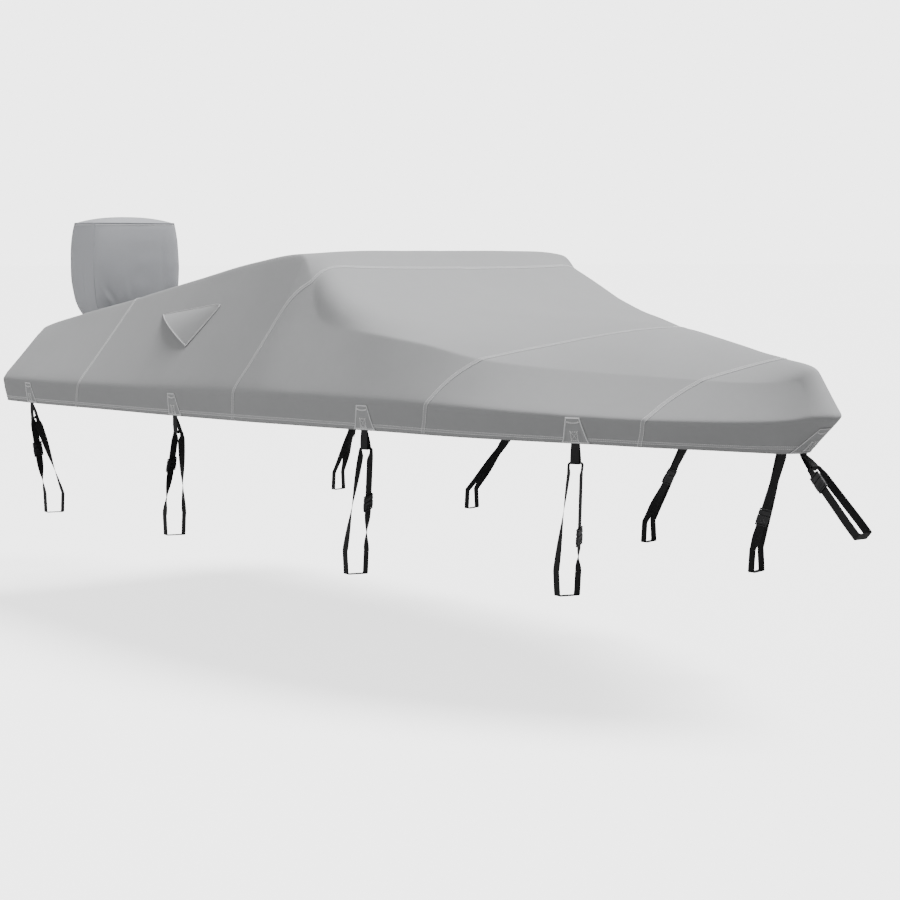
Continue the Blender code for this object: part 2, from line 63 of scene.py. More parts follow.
# along, half width, height, height at the middle, power of the crown
SHOULDER = (
    (-2.70, 0.890, 0.408, 0.400, 2.0),
    (-2.65, 0.920, 0.426, 0.416, 2.0),
    (-2.23, 0.885, 0.515, 0.498, 2.0),
    (-1.67, 0.850, 0.611, 0.588, 2.0),
    (-0.97, 0.840, 0.734, 0.712, 2.0),
    (-0.45, 0.840, 0.818, 0.812, 2.5),
    (-0.06, 0.840, 0.856, 0.870, 4.0),
    (0.00, 0.845, 0.845, 0.872, 8.0),
    (0.08, 0.862, 0.757, 0.829, 12.0),
    (0.16, 0.898, 0.645, 0.783, 18.0),
    (0.27, 0.936, 0.552, 0.718, 20.0),
    (0.45, 0.948, 0.512, 0.639, 16.0),
    (0.72, 0.934, 0.488, 0.573, 8.0),
    (1.00, 0.872, 0.452, 0.550, 3.2),
    (1.30, 0.768, 0.387, 0.545, 2.1),
    (1.53, 0.640, 0.358, 0.540, 1.75),
    (1.75, 0.520, 0.341, 0.526, 1.6),
    (1.95, 0.418, 0.330, 0.498, 1.45),
    (2.15, 0.312, 0.320, 0.464, 1.3),
    (2.30, 0.232, 0.314, 0.435, 1.25),
    (2.45, 0.150, 0.312, 0.411, 1.3),
    (2.52, 0.106, 0.316, 0.399, 1.5),
    (2.58, 0.066, 0.326, 0.384, 2.0),
)
# along, half width, height
RIM = (
    (-2.785, 1.120, 0.129),
    (-2.74, 1.155, 0.130),
    (-2.58, 1.177, 0.133),
    (-2.18, 1.190, 0.137),
    (-1.46, 1.198, 0.150),
    (-0.91, 1.200, 0.164),
    (-0.12, 1.190, 0.188),
    (0.40, 1.147, 0.196),
    (0.80, 1.077, 0.194),
    (1.30, 0.939, 0.182),
    (1.61, 0.810, 0.168),
    (1.95, 0.628, 0.154),
    (2.17, 0.496, 0.148),
    (2.44, 0.310, 0.146),
    (2.60, 0.174, 0.153),
    (2.685, 0.095, 0.172),
)
# along, half width, height
HEM = (
    (-2.775, 1.090, 0.000),
    (-2.73, 1.125, 0.000),
    (-2.57, 1.147, 0.002),
    (-2.18, 1.160, 0.007),
    (-1.46, 1.168, 0.019),
    (-0.91, 1.170, 0.026),
    (-0.12, 1.160, 0.038),
    (0.40, 1.116, 0.045),
    (0.80, 1.044, 0.047),
    (1.27, 0.906, 0.042),
    (1.57, 0.776, 0.038),
    (1.90, 0.594, 0.033),
    (2.08, 0.486, 0.028),
    (2.30, 0.292, 0.019),
    (2.42, 0.178, 0.013),
    (2.495, 0.102, 0.009),
)
# Steps of the cloth grid along the shoulder: from, to, number of steps.
STEPS_ALONG = (
    (-2.70, -2.62, 6),
    (-2.62, -0.30, 74),
    (-0.30, -0.06, 12),
    (-0.06, 0.20, 22),
    (0.20, 1.02, 34),
    (1.02, 2.30, 46),
    (2.30, 2.58, 16),
)
STEPS_ACROSS = 72
# Shares of the way down the side and the skirt where the rings of points lie.
SIDE_AT = (0.015, 0.04, 0.08, 0.14, 0.22, 0.31, 0.41, 0.51, 0.61, 0.71, 0.80, 0.88, 0.94, 0.975, 1.0)
SKIRT_AT = (0.06, 0.15, 0.28, 0.44, 0.60, 0.74, 0.86, 0.94, 1.0)
SKIRT_DEEP = 0.134
# How far the bow end stands out at the shoulder, rim and hem.
NOSE_TOP, NOSE_RIM, NOSE_HEM = 0.025, 0.045, 0.047
# Share of the length where it starts, the share that is left, its grid steps.
NOSE_FROM, NOSE_REST, NOSE_STEPS = 0.965, 0.035, 9
# Pull lines over a tab: their top over the hem, reach along, height, half width.
PULL_TOP, PULL_REACH, PULL_HEIGHT, PULL_WIDE = 0.34, 0.3, 0.0024, 0.028

# Cross seams: along at the hem, rim, shoulder and middle of the top, and the
# power of the curve across the top.
SEAMS = (
    (-1.795, -1.715, -1.670, -1.670, 1.6),
    (-0.175, -0.120, 0.105, 0.158, 4.0),
    (1.120, 1.175, 1.300, 1.760, 1.2),
    (2.060, 2.120, 2.210, 2.430, 1.2),
)

# Stitch rows off a seam's middle, the seam's lift and its stitches' lift.
SEAM_ROWS, SEAM_LIFT, SEAM_STITCH_LIFT = 0.0075, 0.0011, 0.0014
# Distance between the hem's stitch rows, width of its fold and of its inside.
HEM_ROWS, HEM_FOLD, HEM_TURNED = 0.010, 0.015, 0.034
STITCH_PITCH, STITCH_LENGTH, THREAD_RADIUS = 0.0085, 0.0065, 0.0011
# Across a sewn band: share of the width, share of the thickness.
BAND_EDGE = ((-0.5, -0.9), (-0.42, 0.0), (-0.14, 0.35), (0.14, 0.35), (0.42, 0.0), (0.5, -0.9))
# Across the webbing: share of the half width, share of the half thickness.
WEB_EDGE = ((-1.0, 0.35), (-0.93, 1.0), (-0.5, 1.0), (0.0, 1.0), (0.5, 1.0), (0.93, 1.0), (1.0, 0.35))

HOOD_AT = -3.33
# height, half depth, half width
HOOD_RINGS = (
    (0.435, 0.150, 0.232),
    (0.460, 0.162, 0.249),
    (0.510, 0.181, 0.279),
    (0.580, 0.196, 0.302),
    (0.680, 0.204, 0.313),
    (0.800, 0.207, 0.317),
    (0.920, 0.203, 0.313),
    (1.000, 0.196, 0.304),
    (1.048, 0.188, 0.295),
)
HOOD_CROWN, HOOD_SQUARE = 0.040, 5.0
# Points round the hood, rings up its sides and rings over its crown.
HOOD_ROUND, HOOD_UP, HOOD_OVER = 160, 52, 15
# Turn of its four piped corners, the piping's radius and the points round it.
HOOD_CORNER, PIPING, PIPING_ROUND = 0.93, 0.0042, 9
# Gathers of its hem: number, depth and how high they reach.
GATHERS, GATHER_DEPTH, GATHER_HEIGHT = 34.0, 0.006, 0.085
# Soft folds, listed one by one: turn of the middle, height, lean, reach, depth.
HOOD_FOLDS = (
    (-0.70, 0.59, -1.4, 0.070, 0.0085),
    (-0.30, 0.60, -0.5, 0.10, 0.0020),
    (0.47, 0.80, 0.1, 0.140, -0.0045),
    (0.45, 0.58, 0.6, 0.09, 0.0030),
    (2.50, 0.56, -0.8, 0.09, 0.0050),
    (-2.30, 0.60, 0.7, 0.10, 0.0045),
    (-1.45, 0.70, 0.3, 0.13, 0.0035),
)
FOLD_WIDTH = 0.055

# A tab's lowest line over the hem, its height, its width at foot and head.
TAB_LOW, TAB_HEIGHT, TAB_FOOT, TAB_HEAD = 0.002, 0.118, 0.136, 0.068
TAB_ROWS, TAB_COLUMNS = 22, 33
# The stitched box on it: lower and upper line, half width, inner line's inset.
BOX_LOW, BOX_HIGH, BOX_HALF, BOX_INNER = 0.014, 0.056, 0.0165, 0.0028
SEWN = 0.050
LOOP_WIDTH, LOOP_DROP = 0.042, 0.088
# The strap's width, its width where it is drawn together, and the way between.
STRAP_WIDTH, BUNCHED, SPREAD = 0.042, 0.022, 0.045
BEND, FOLD = 0.006, 0.003
FOOT_DEEP, FOOT_HIGH, FOOT_SHIFT = 0.095, 0.110, 0.020

# tab along, strap foot along, its outer face off the middle, height of its
# underside, leg with the buckle (+1 fore), the buckle's drop
SITES = (
    (-2.345, -2.400, 1.050, -0.640, -1, 0.185),
    (-0.710, -1.020, 1.050, -0.630, -1, 0.212),
    (0.796, 0.570, 0.990, -0.655, 1, 0.292),
    (1.813, 1.700, 0.640, -0.650, 1, 0.340),
)
BOW_SLANT = radians(43)
BOW_REACH, BOW_FOOT, BOW_BUCKLE = 0.300, 0.080, 0.070

# Corners of the starboard vent, along and height, and how far it stands off.
VENT_AFT, VENT_FORE, VENT_LOW = (-1.21, 0.530), (-0.60, 0.600), (-0.76, 0.375)
VENT_RISE = 0.034
# Steps of the vent's cloth and of its bindings, and its stitch rows.
VENT_STEPS, VENT_EDGE_STEPS, VENT_ROWS = 28, 30, 0.0035

# Rings of the buckle's halves: along, half width, half thickness.
SOCKET = (
    (-0.008, 0.0262, 0.0052),
    (-0.006, 0.0276, 0.0066),
    (0.004, 0.0284, 0.0070),
    (0.026, 0.0282, 0.0068),
    (0.031, 0.0272, 0.0060),
    (0.033, 0.0262, 0.0050),
)
PLUG = (
    (-0.033, 0.0262, 0.0050),
    (-0.031, 0.0272, 0.0060),
    (-0.018, 0.0284, 0.0066),
    (-0.0125, 0.0280, 0.0064),
    (-0.0105, 0.0252, 0.0050),
)
BUCKLE_CORNER, BUCKLE_EDGE = 0.0022, 0.0005

FLOOR_Z, FLOOR_HALF = -2.040, 300.0
CAMERA_AT = (8.86, -6.74, -0.010)
CAMERA_TURN, CAMERA_DIP = radians(52.5), radians(5.235)
CAMERA_LENS, CAMERA_SENSOR, CAMERA_FAR = 86.0, 36.0, 400.0
# Energy, place and aim of each light.
KEY = (6.3, (2.6, 3.9, 11.0), (0.0, 0.0, 0.0))
FILL = (320.0, (-1.6, -10.0, 3.2), (-0.3, 0.0, -0.5))
KICK = (1450.0, (-1.8, -6.6, 1.2), (HOOD_AT, 0.0, -0.10))
WHITE = (1.0, 1.0, 1.0, 1.0)
UP = Vector((0.0, 0.0, 1.0))


def length_setting(name, text, value):
    """A length that a user may change."""
    return FloatProperty(name=name, description=text, default=value, unit="LENGTH")


def colour_setting(name, text, value):
    """A colour that a user may change."""
    return FloatVectorProperty(name=name, description=text, subtype="COLOR", size=3, default=value)


class CoverSettings(bpy.types.PropertyGroup):
    """Sizes and colours that a user may change."""

    cloth_colour: colour_setting("Cloth colour", "Colour of the cover's woven cloth", (0.330, 0.333, 0.338))
    hood_colour: colour_setting(
        "Hood colour", "Colour of the motor hood's woven cloth", (0.345, 0.352, 0.372)
    )
    thread_colour: colour_setting("Thread colour", "Colour of the sewing thread", (0.82, 0.82, 0.82))
    seam_width: length_setting("Seam width", "Width of a felled seam across the cover", 0.022)
    hem_line: length_setting(
        "Hem line", "Height of the lower row of hem stitches over the hem's edge", 0.018
    )
    ripple: length_setting("Ripple", "Height of the soft unevenness of the taut cloth", 0.0035)


class StitchSettings(bpy.types.PropertyGroup):
    """Sizes of the sewing."""

    pitch: length_setting("Pitch", "Distance from one stitch to the next", STITCH_PITCH)
    length: length_setting("Stitch length", "Length of thread that shows between two holes", STITCH_LENGTH)
    radius: length_setting("Thread radius", "Half of the thread's thickness", THREAD_RADIUS)


# What one step leaves for the next: finishes, skin, cloth, bands, stitch lines.
MADE = {"stitches": []}


# ------------------------------------------------------------------ helpers


def heights(h):
    """Z in the frame of a height above the hem's lowest line."""
    return h - RIDGE_HEIGHT + CLOTH


def ease(u):
    """0 to 1 with level ends."""
    u = min(max(u, 0.0), 1.0)
    return u * u * (3.0 - 2.0 * u)


def bell(u):
    """A bell of height 1 round 0."""
    return 2.718 ** (-u * u)


def table_at(table, x):
    """The other columns of a table at x, joined by smooth monotone cubics."""
    rows = len(table)
    k = 0
    while k < rows - 2 and x > table[k + 1][0]:
        k += 1

    def chord(i, c):
        a, b = table[i], table[i + 1]
        return (b[c] - a[c]) / (b[0] - a[0])

    def slope(i, c):
        if i in (0, rows - 1):
            return chord(min(i, rows - 2), c)
        before, after = chord(i - 1, c), chord(i, c)
        return 2.0 * before * after / (before + after) if before * after > 0.0 else 0.0

    low, high = table[k], table[k + 1]
    span = high[0] - low[0]
    u = min(max((x - low[0]) / span, 0.0), 1.0)
    out = []
    for c in range(1, len(low)):
        m0, m1 = slope(k, c) * span, slope(k + 1, c) * span
        start = low[c] * (1 + 2 * u) * (1 - u) ** 2 + m0 * u * (1 - u) ** 2
        out.append(start + high[c] * u * u * (3 - 2 * u) + m1 * u * u * (u - 1))
    return out


def row_at(table, fraction):
    """A table's row at a fraction of the table's own length."""
    x = table[0][0] + fraction * (table[-1][0] - table[0][0])
    return (x, *table_at(table, x))


def across(point, side):
    """A starboard point, or its mirror image for the port side."""
    return Vector((point[0], point[1] * side, point[2]))


def link(name, mesh):
    """A new object at the origin with this mesh."""
    obj = bpy.data.objects.new(name, mesh)
    bpy.context.scene.collection.objects.link(obj)
    return obj


def mesh_piece(name, points, faces, coords, mat, smooth=True):
    """An object from points, faces and one flat-cloth coordinate for each point."""
    mesh = bpy.data.meshes.new(name)
    mesh.from_pydata([tuple(p) for p in points], [], faces)
    if coords is not None:
        layer = mesh.uv_layers.new(name="cloth")
        for loop in mesh.loops:
            layer.data[loop.index].uv = coords[loop.vertex_index]
    mesh.materials.append(mat)
    mesh.polygons.foreach_set("use_smooth", [smooth] * len(mesh.polygons))
    mesh.update()
    return link(name, mesh)


def grid_faces(rows, cols, closed_rows=False, closed_cols=False, flip=False):
    """Quads between the points of a grid, row by row."""
    faces = []
    for i in range(rows if closed_rows else rows - 1):
        n = (i + 1) % rows
        for j in range(cols if closed_cols else cols - 1):
            m = (j + 1) % cols
            quad = (i * cols + j, n * cols + j, n * cols + m, i * cols + m)
            faces.append(quad[::-1] if flip else quad)
    return faces


def grid_coords(grid):
    """Distances along each row and down each column, in metres."""
    coords = []
    down = [0.0] * len(grid[0])
    for i, row in enumerate(grid):
        run = 0.0
        for j, point in enumerate(row):
            run += (point - row[j - 1]).length if j else 0.0
            down[j] += (point - grid[i - 1][j]).length if i else 0.0
            coords.append((run, down[j]))
    return coords


def wall(obj, thickness, offset):
    """Cloth thickness on a sheet."""
    solid = obj.modifiers.new("Wall", "SOLIDIFY")
    solid.thickness = thickness
    solid.offset = offset
    solid.use_even_offset = True


def turn_outward(obj, towards):
    """Makes a sheet's faces look along a direction on the whole."""
    mesh = obj.data
    total = sum((p.normal * p.area for p in mesh.polygons), Vector())
    if total.dot(Vector(towards)) < 0.0:
        mesh.flip_normals()
        mesh.update()


def agree(mesh):
    """Makes all faces of a mesh look the same way round."""
    bm = bmesh.new()
    bm.from_mesh(mesh)
    bmesh.ops.recalc_face_normals(bm, faces=bm.faces)
    bm.to_mesh(mesh)
    bm.free()


def patch_sheet(name, grid, mat, outward):
    """A thin sewn-on cloth from rows of points."""
    points = [p for row in grid for p in row]
    faces = grid_faces(len(grid), len(grid[0]))
    sheet = mesh_piece(name, points, faces, grid_coords(grid), mat)
    turn_outward(sheet, outward)
    wall(sheet, PATCH, 1.0)
    return sheet


def stitch(points, closed=False):
    """Notes a line of points for the sewing step."""
    MADE["stitches"].append((points, closed))


# ---------------------------------------------------------------- materials


class Nodes:
    """A short way to place and join shader nodes."""

    def __init__(self, tree):
        self.tree = tree

    def give(self, value, socket):
        """Joins an output to a socket, or sets the socket's own value."""
        if isinstance(value, bpy.types.NodeSocket):
            self.tree.links.new(value, socket)
        else:
            socket.default_value = value

    def fill(self, node, **inputs):
        """Gives a node its inputs, whose names are written with _ for a space."""
        for name, value in inputs.items():
            self.give(value, node.inputs[name.replace("_", " ")])
        return node

    def add(self, kind, operation=None, **inputs):
        """A new node with its inputs."""
        node = self.tree.nodes.new(kind)
        if operation is not None:
            node.operation = operation
        return self.fill(node, **inputs)

    def group(self, tree, **inputs):
        """The outputs of a node group with its inputs."""
        node = self.tree.nodes.new("ShaderNodeGroup")
        node.node_tree = tree
        return self.fill(node, **inputs).outputs

    def math(self, operation, *values):
        """The result of one operation on outputs or plain numbers."""
        node = self.add("ShaderNodeMath", operation)
        for value, socket in zip(values, node.inputs):
            self.give(value, socket)
        return node.outputs[0]

    def noise(self, at, scale, detail=2.0):
        """A cloudy value at a position."""
        return self.add("ShaderNodeTexNoise", Vector=at, Scale=scale, Detail=detail).outputs["Fac"]

    def scaled(self, colour, gain):
        """A colour times a gain."""
        node = self.add("ShaderNodeVectorMath", "SCALE", Scale=gain)
        self.give(colour, node.inputs[0])
        return node.outputs["Vector"]

    def flat_cloth(self):
        """Distances across and along the flat cloth."""
        node = self.add("ShaderNodeUVMap")
        node.uv_map = "cloth"
        return node.outputs["UV"]

    def position(self):
        """The place of each point in the piece."""
        return self.add("ShaderNodeTexCoord").outputs["Object"]

    def surface(self, colour, roughness, relief=None, **inputs):
        """Fills in the surface; relief holds a height, a strength and a depth."""
        bsdf = self.tree.nodes["Principled BSDF"]
        if relief:
            height, strength, depth = relief
            bump = self.add("ShaderNodeBump", Height=height, Strength=strength, Distance=depth)
            self.give(bump.outputs["Normal"], bsdf.inputs["Normal"])
        return self.fill(bsdf, Base_Color=colour, Roughness=roughness, **inputs)

    def by_ray(self, other, seen, output):
        """Gives camera rays one shader and all other rays the other."""
        ray = self.add("ShaderNodeLightPath").outputs["Is Camera Ray"]
        mix = self.add("ShaderNodeMixShader")
        for value, socket in zip((ray, other.outputs[0], seen.outputs[0]), mix.inputs):
            self.give(value, socket)
        self.give(mix.outputs[0], self.tree.nodes[output].inputs["Surface"])


def new_material(name):
    """A material and its nodes."""
    mat = bpy.data.materials.new(name)
    mat.use_nodes = True
    return mat, Nodes(mat.node_tree)


def shader_group(name, inputs, outputs):
    """A new node group: its nodes, what it is given and what it puts out."""
    tree = bpy.data.node_groups.new(name, "ShaderNodeTree")
    for label, kind, value in inputs:
        socket = tree.interface.new_socket(label, in_out="INPUT", socket_type=kind)
        if value is not None:
            socket.default_value = value
    for label, kind in outputs:
        tree.interface.new_socket(label, in_out="OUTPUT", socket_type=kind)
    get, put = tree.nodes.new("NodeGroupInput"), tree.nodes.new("NodeGroupOutput")
    return Nodes(tree), get.outputs, put.inputs


FLOAT, VECTOR, COLOUR = "NodeSocketFloat", "NodeSocketVector", "NodeSocketColor"


def plain_weave_group():
    """Over-and-under threads: a height, and a painted shade that is darker where the threads dip, from
    flat-cloth coordinates.
    """
    n, get, put = shader_group(
        "plain_weave",
        (("Cloth", VECTOR, None), ("Threads per metre", FLOAT, 500.0)),
        (("Height", FLOAT), ("Shade", FLOAT)),
    )
    split = n.add("ShaderNodeSeparateXYZ", Vector=get["Cloth"])
    waves = []
    for axis in ("X", "Y"):
        count = n.math("MULTIPLY", split.outputs[axis], get["Threads per metre"])
        waves.append(n.math("SINE", n.math("MULTIPLY", count, pi)))
    ribs = [n.math("ABSOLUTE", wave) for wave in waves]
    over = n.math("MULTIPLY", waves[0], waves[1])
    side = n.math("MULTIPLY_ADD", n.math("SIGN", over), 0.5, 0.5)
    warp = n.math("MULTIPLY", ribs[0], side)
    weft = n.math("MULTIPLY", ribs[1], n.math("SUBTRACT", 1.0, side))
    height = n.math("ADD", warp, weft)
    n.give(height, put["Height"])
    n.give(n.math("MULTIPLY_ADD", height, 0.5, 0.72), put["Shade"])
    return n.tree


def weathering_group():
    """Cloudy fading, faint streaks and specks of dust over a colour."""
    n, get, put = shader_group(
        "cloth_weathering",
        (
            ("Colour", COLOUR, (0.3, 0.3, 0.3, 1.0)),
            ("Position", VECTOR, None),
            ("Clouds", FLOAT, 0.06),
            ("Specks", FLOAT, 0.04),
        ),
        (("Colour", COLOUR), ("Cloud", FLOAT)),
    )
    at = get["Position"]
    broad, fine = n.noise(at, 2.3, 3.0), n.noise(at, 38.0, 4.0)
    stretch = n.add("ShaderNodeMapping", Vector=at, Scale=(9.0, 9.0, 1.2))
    streak = n.noise(stretch.outputs["Vector"], 1.0)
    cloud = n.math("SUBTRACT", broad, 0.5)
    cloud = n.math("MULTIPLY_ADD", n.math("SUBTRACT", streak, 0.5), 0.4, cloud)
    gain = n.math("MULTIPLY_ADD", cloud, get["Clouds"], 1.0)
    gain = n.math("MULTIPLY_ADD", n.math("SUBTRACT", fine, 0.5), get["Specks"], gain)
    n.give(n.scaled(get["Colour"], gain), put["Colour"])
    n.give(broad, put["Cloud"])
    return n.tree


def webbing_group():
    """Herringbone ribs of webbing from distances across and along it: a height, and a painted shade that is
    lighter on the rib tops and darker in the grooves.
    """
    n, get, put = shader_group(
        "webbing_ribs",
        (("Cloth", VECTOR, None), ("Rib", FLOAT, 0.0042)),
        (("Height", FLOAT), ("Shade", FLOAT)),
    )
    split = n.add("ShaderNodeSeparateXYZ", Vector=get["Cloth"])
    column = n.math("DIVIDE", split.outputs["X"], get["Rib"])
    zigzag = n.math("PINGPONG", column, 1.0)
    length = n.math("DIVIDE", split.outputs["Y"], n.math("MULTIPLY", get["Rib"], 0.55))
    slant = n.math("ADD", length, n.math("MULTIPLY", zigzag, 1.6))
    height = n.math("MULTIPLY_ADD", n.math("SINE", n.math("MULTIPLY", slant, pi)), 0.5, 0.5)
    groove = n.math("ABSOLUTE", n.math("SINE", n.math("MULTIPLY", column, pi)))
    height = n.math("MULTIPLY", height, n.math("MULTIPLY_ADD", groove, 0.6, 0.4))
    n.give(height, put["Height"])
    n.give(n.math("MULTIPLY_ADD", height, 0.8, 0.6), put["Shade"])
    return n.tree


class Finishes:
    """The materials of this cover, made once."""

    def __init__(self, settings):
        self.weave = plain_weave_group()
        self.weathering = weathering_group()
        self.ribs = webbing_group()
        cloth, hood = settings.cloth_colour, settings.hood_colour
        # The seam cloth is 1.2 times the cloth colour: a painted highlight where the raised seam catches
        # light.
        patch, seam, bound = ([c * gain for c in cloth] for gain in (1.08, 1.2, 2.4))
        self.cover = self.woven("cover_polyester", cloth, 420.0, 0.00022, 0.09, 0.05)
        self.hood = self.woven("hood_polyester", hood, 420.0, 0.00022, 0.07, 0.04)
        self.patch = self.woven("patch_polyester", patch, 520.0, 0.00025, 0.1, 0.08)
        self.seam = self.woven("felled_seam_painted_highlight", seam, 520.0, 0.00022, 0.08, 0.06)
        self.binding = self.woven("patch_binding", bound, 620.0, 0.00025, 0.08, 0.06)
        self.webbing = self.black_webbing()
        self.thread = self.sewing_thread(settings.thread_colour)
        self.plastic = self.moulded()

    def woven(self, name, colour, threads, depth, clouds, specks):
        """Matt plain woven cloth."""
        mat, n = new_material(name)
        weave = n.group(self.weave, Cloth=n.flat_cloth(), Threads_per_metre=threads)
        age = n.group(
            self.weathering, Colour=(*colour, 1.0), Position=n.position(), Clouds=clouds, Specks=specks
        )
        # The weave's shade is painted shade: the cloth colour is darker where the threads dip.
        tint = n.scaled(age["Colour"], n.math("MULTIPLY_ADD", weave["Shade"], 0.14, 0.86))
        rough = n.math("MULTIPLY_ADD", age["Cloud"], 0.16, 0.70)
        surface = n.surface(tint, rough, (weave["Height"], 0.55, depth), Specular_IOR_Level=0.32)
        n.fill(surface, Sheen_Weight=0.10, Sheen_Roughness=0.5)
        return mat

    def black_webbing(self):
        """Woven polypropylene webbing."""
        mat, n = new_material("black_webbing")
        ribs, fuzz = n.group(self.ribs, Cloth=n.flat_cloth()), n.noise(n.position(), 160.0, 3.0)
        # shade: painted highlight on the rib tops and painted shade in the grooves, times a random fuzz of
        # tone.
        shade = n.math("MULTIPLY", ribs["Shade"], n.math("MULTIPLY_ADD", fuzz, 0.5, 0.75))
        rough = n.math("MULTIPLY_ADD", fuzz, 0.2, 0.52)
        tint = n.scaled((0.010, 0.010, 0.011), shade)
        n.surface(tint, rough, (ribs["Height"], 0.7, 0.0005), Specular_IOR_Level=0.35)
        return mat

    def sewing_thread(self, colour):
        """Twisted polyester thread, a little uneven."""
        mat, n = new_material("sewing_thread")
        uneven = n.noise(n.position(), 90.0)
        tint = n.scaled(tuple(colour), n.math("MULTIPLY_ADD", uneven, 0.3, 0.85))
        n.surface(tint, 0.6, (uneven, 0.4, 0.0003))
        return mat

    def moulded(self):
        """Black acetal with a fine spark-eroded grain."""
        mat, n = new_material("buckle_plastic")
        at = n.position()
        grain, wear = n.noise(at, 900.0), n.noise(at, 60.0, 4.0)
        tint = n.scaled((0.019, 0.019, 0.021), n.math("MULTIPLY_ADD", wear, 0.6, 0.7))
        n.surface(tint, n.math("MULTIPLY_ADD", wear, 0.25, 0.26), (grain, 0.25, 0.0001))
        return mat


# ------------------------------------------------------- the cover's surface


def edge_point(row, bulge, fraction, t):
    """Point at t across a row; the bow end, and only that, stands out by bulge."""
    x, half, h = row
    if fraction > NOSE_FROM:
        x += bulge * (1.0 - t * t) * ease((fraction - NOSE_FROM) / NOSE_REST)
    return Vector((x, half * t, heights(h)))


def pull_lines(off, height):
    """Height of the two soft lines that fan up from a tab, off its middle."""
    fan = 0.035 + 0.35 * max(height - 0.05, 0.0)
    fade = ease(height / 0.06) * (1.0 - ease((height - 0.13) / 0.20))
    near = [(off - pull) / PULL_WIDE for pull in (-fan, fan)]
    return sum(PULL_HEIGHT * bell(u) * fade for u in near if abs(u) < 3.0)


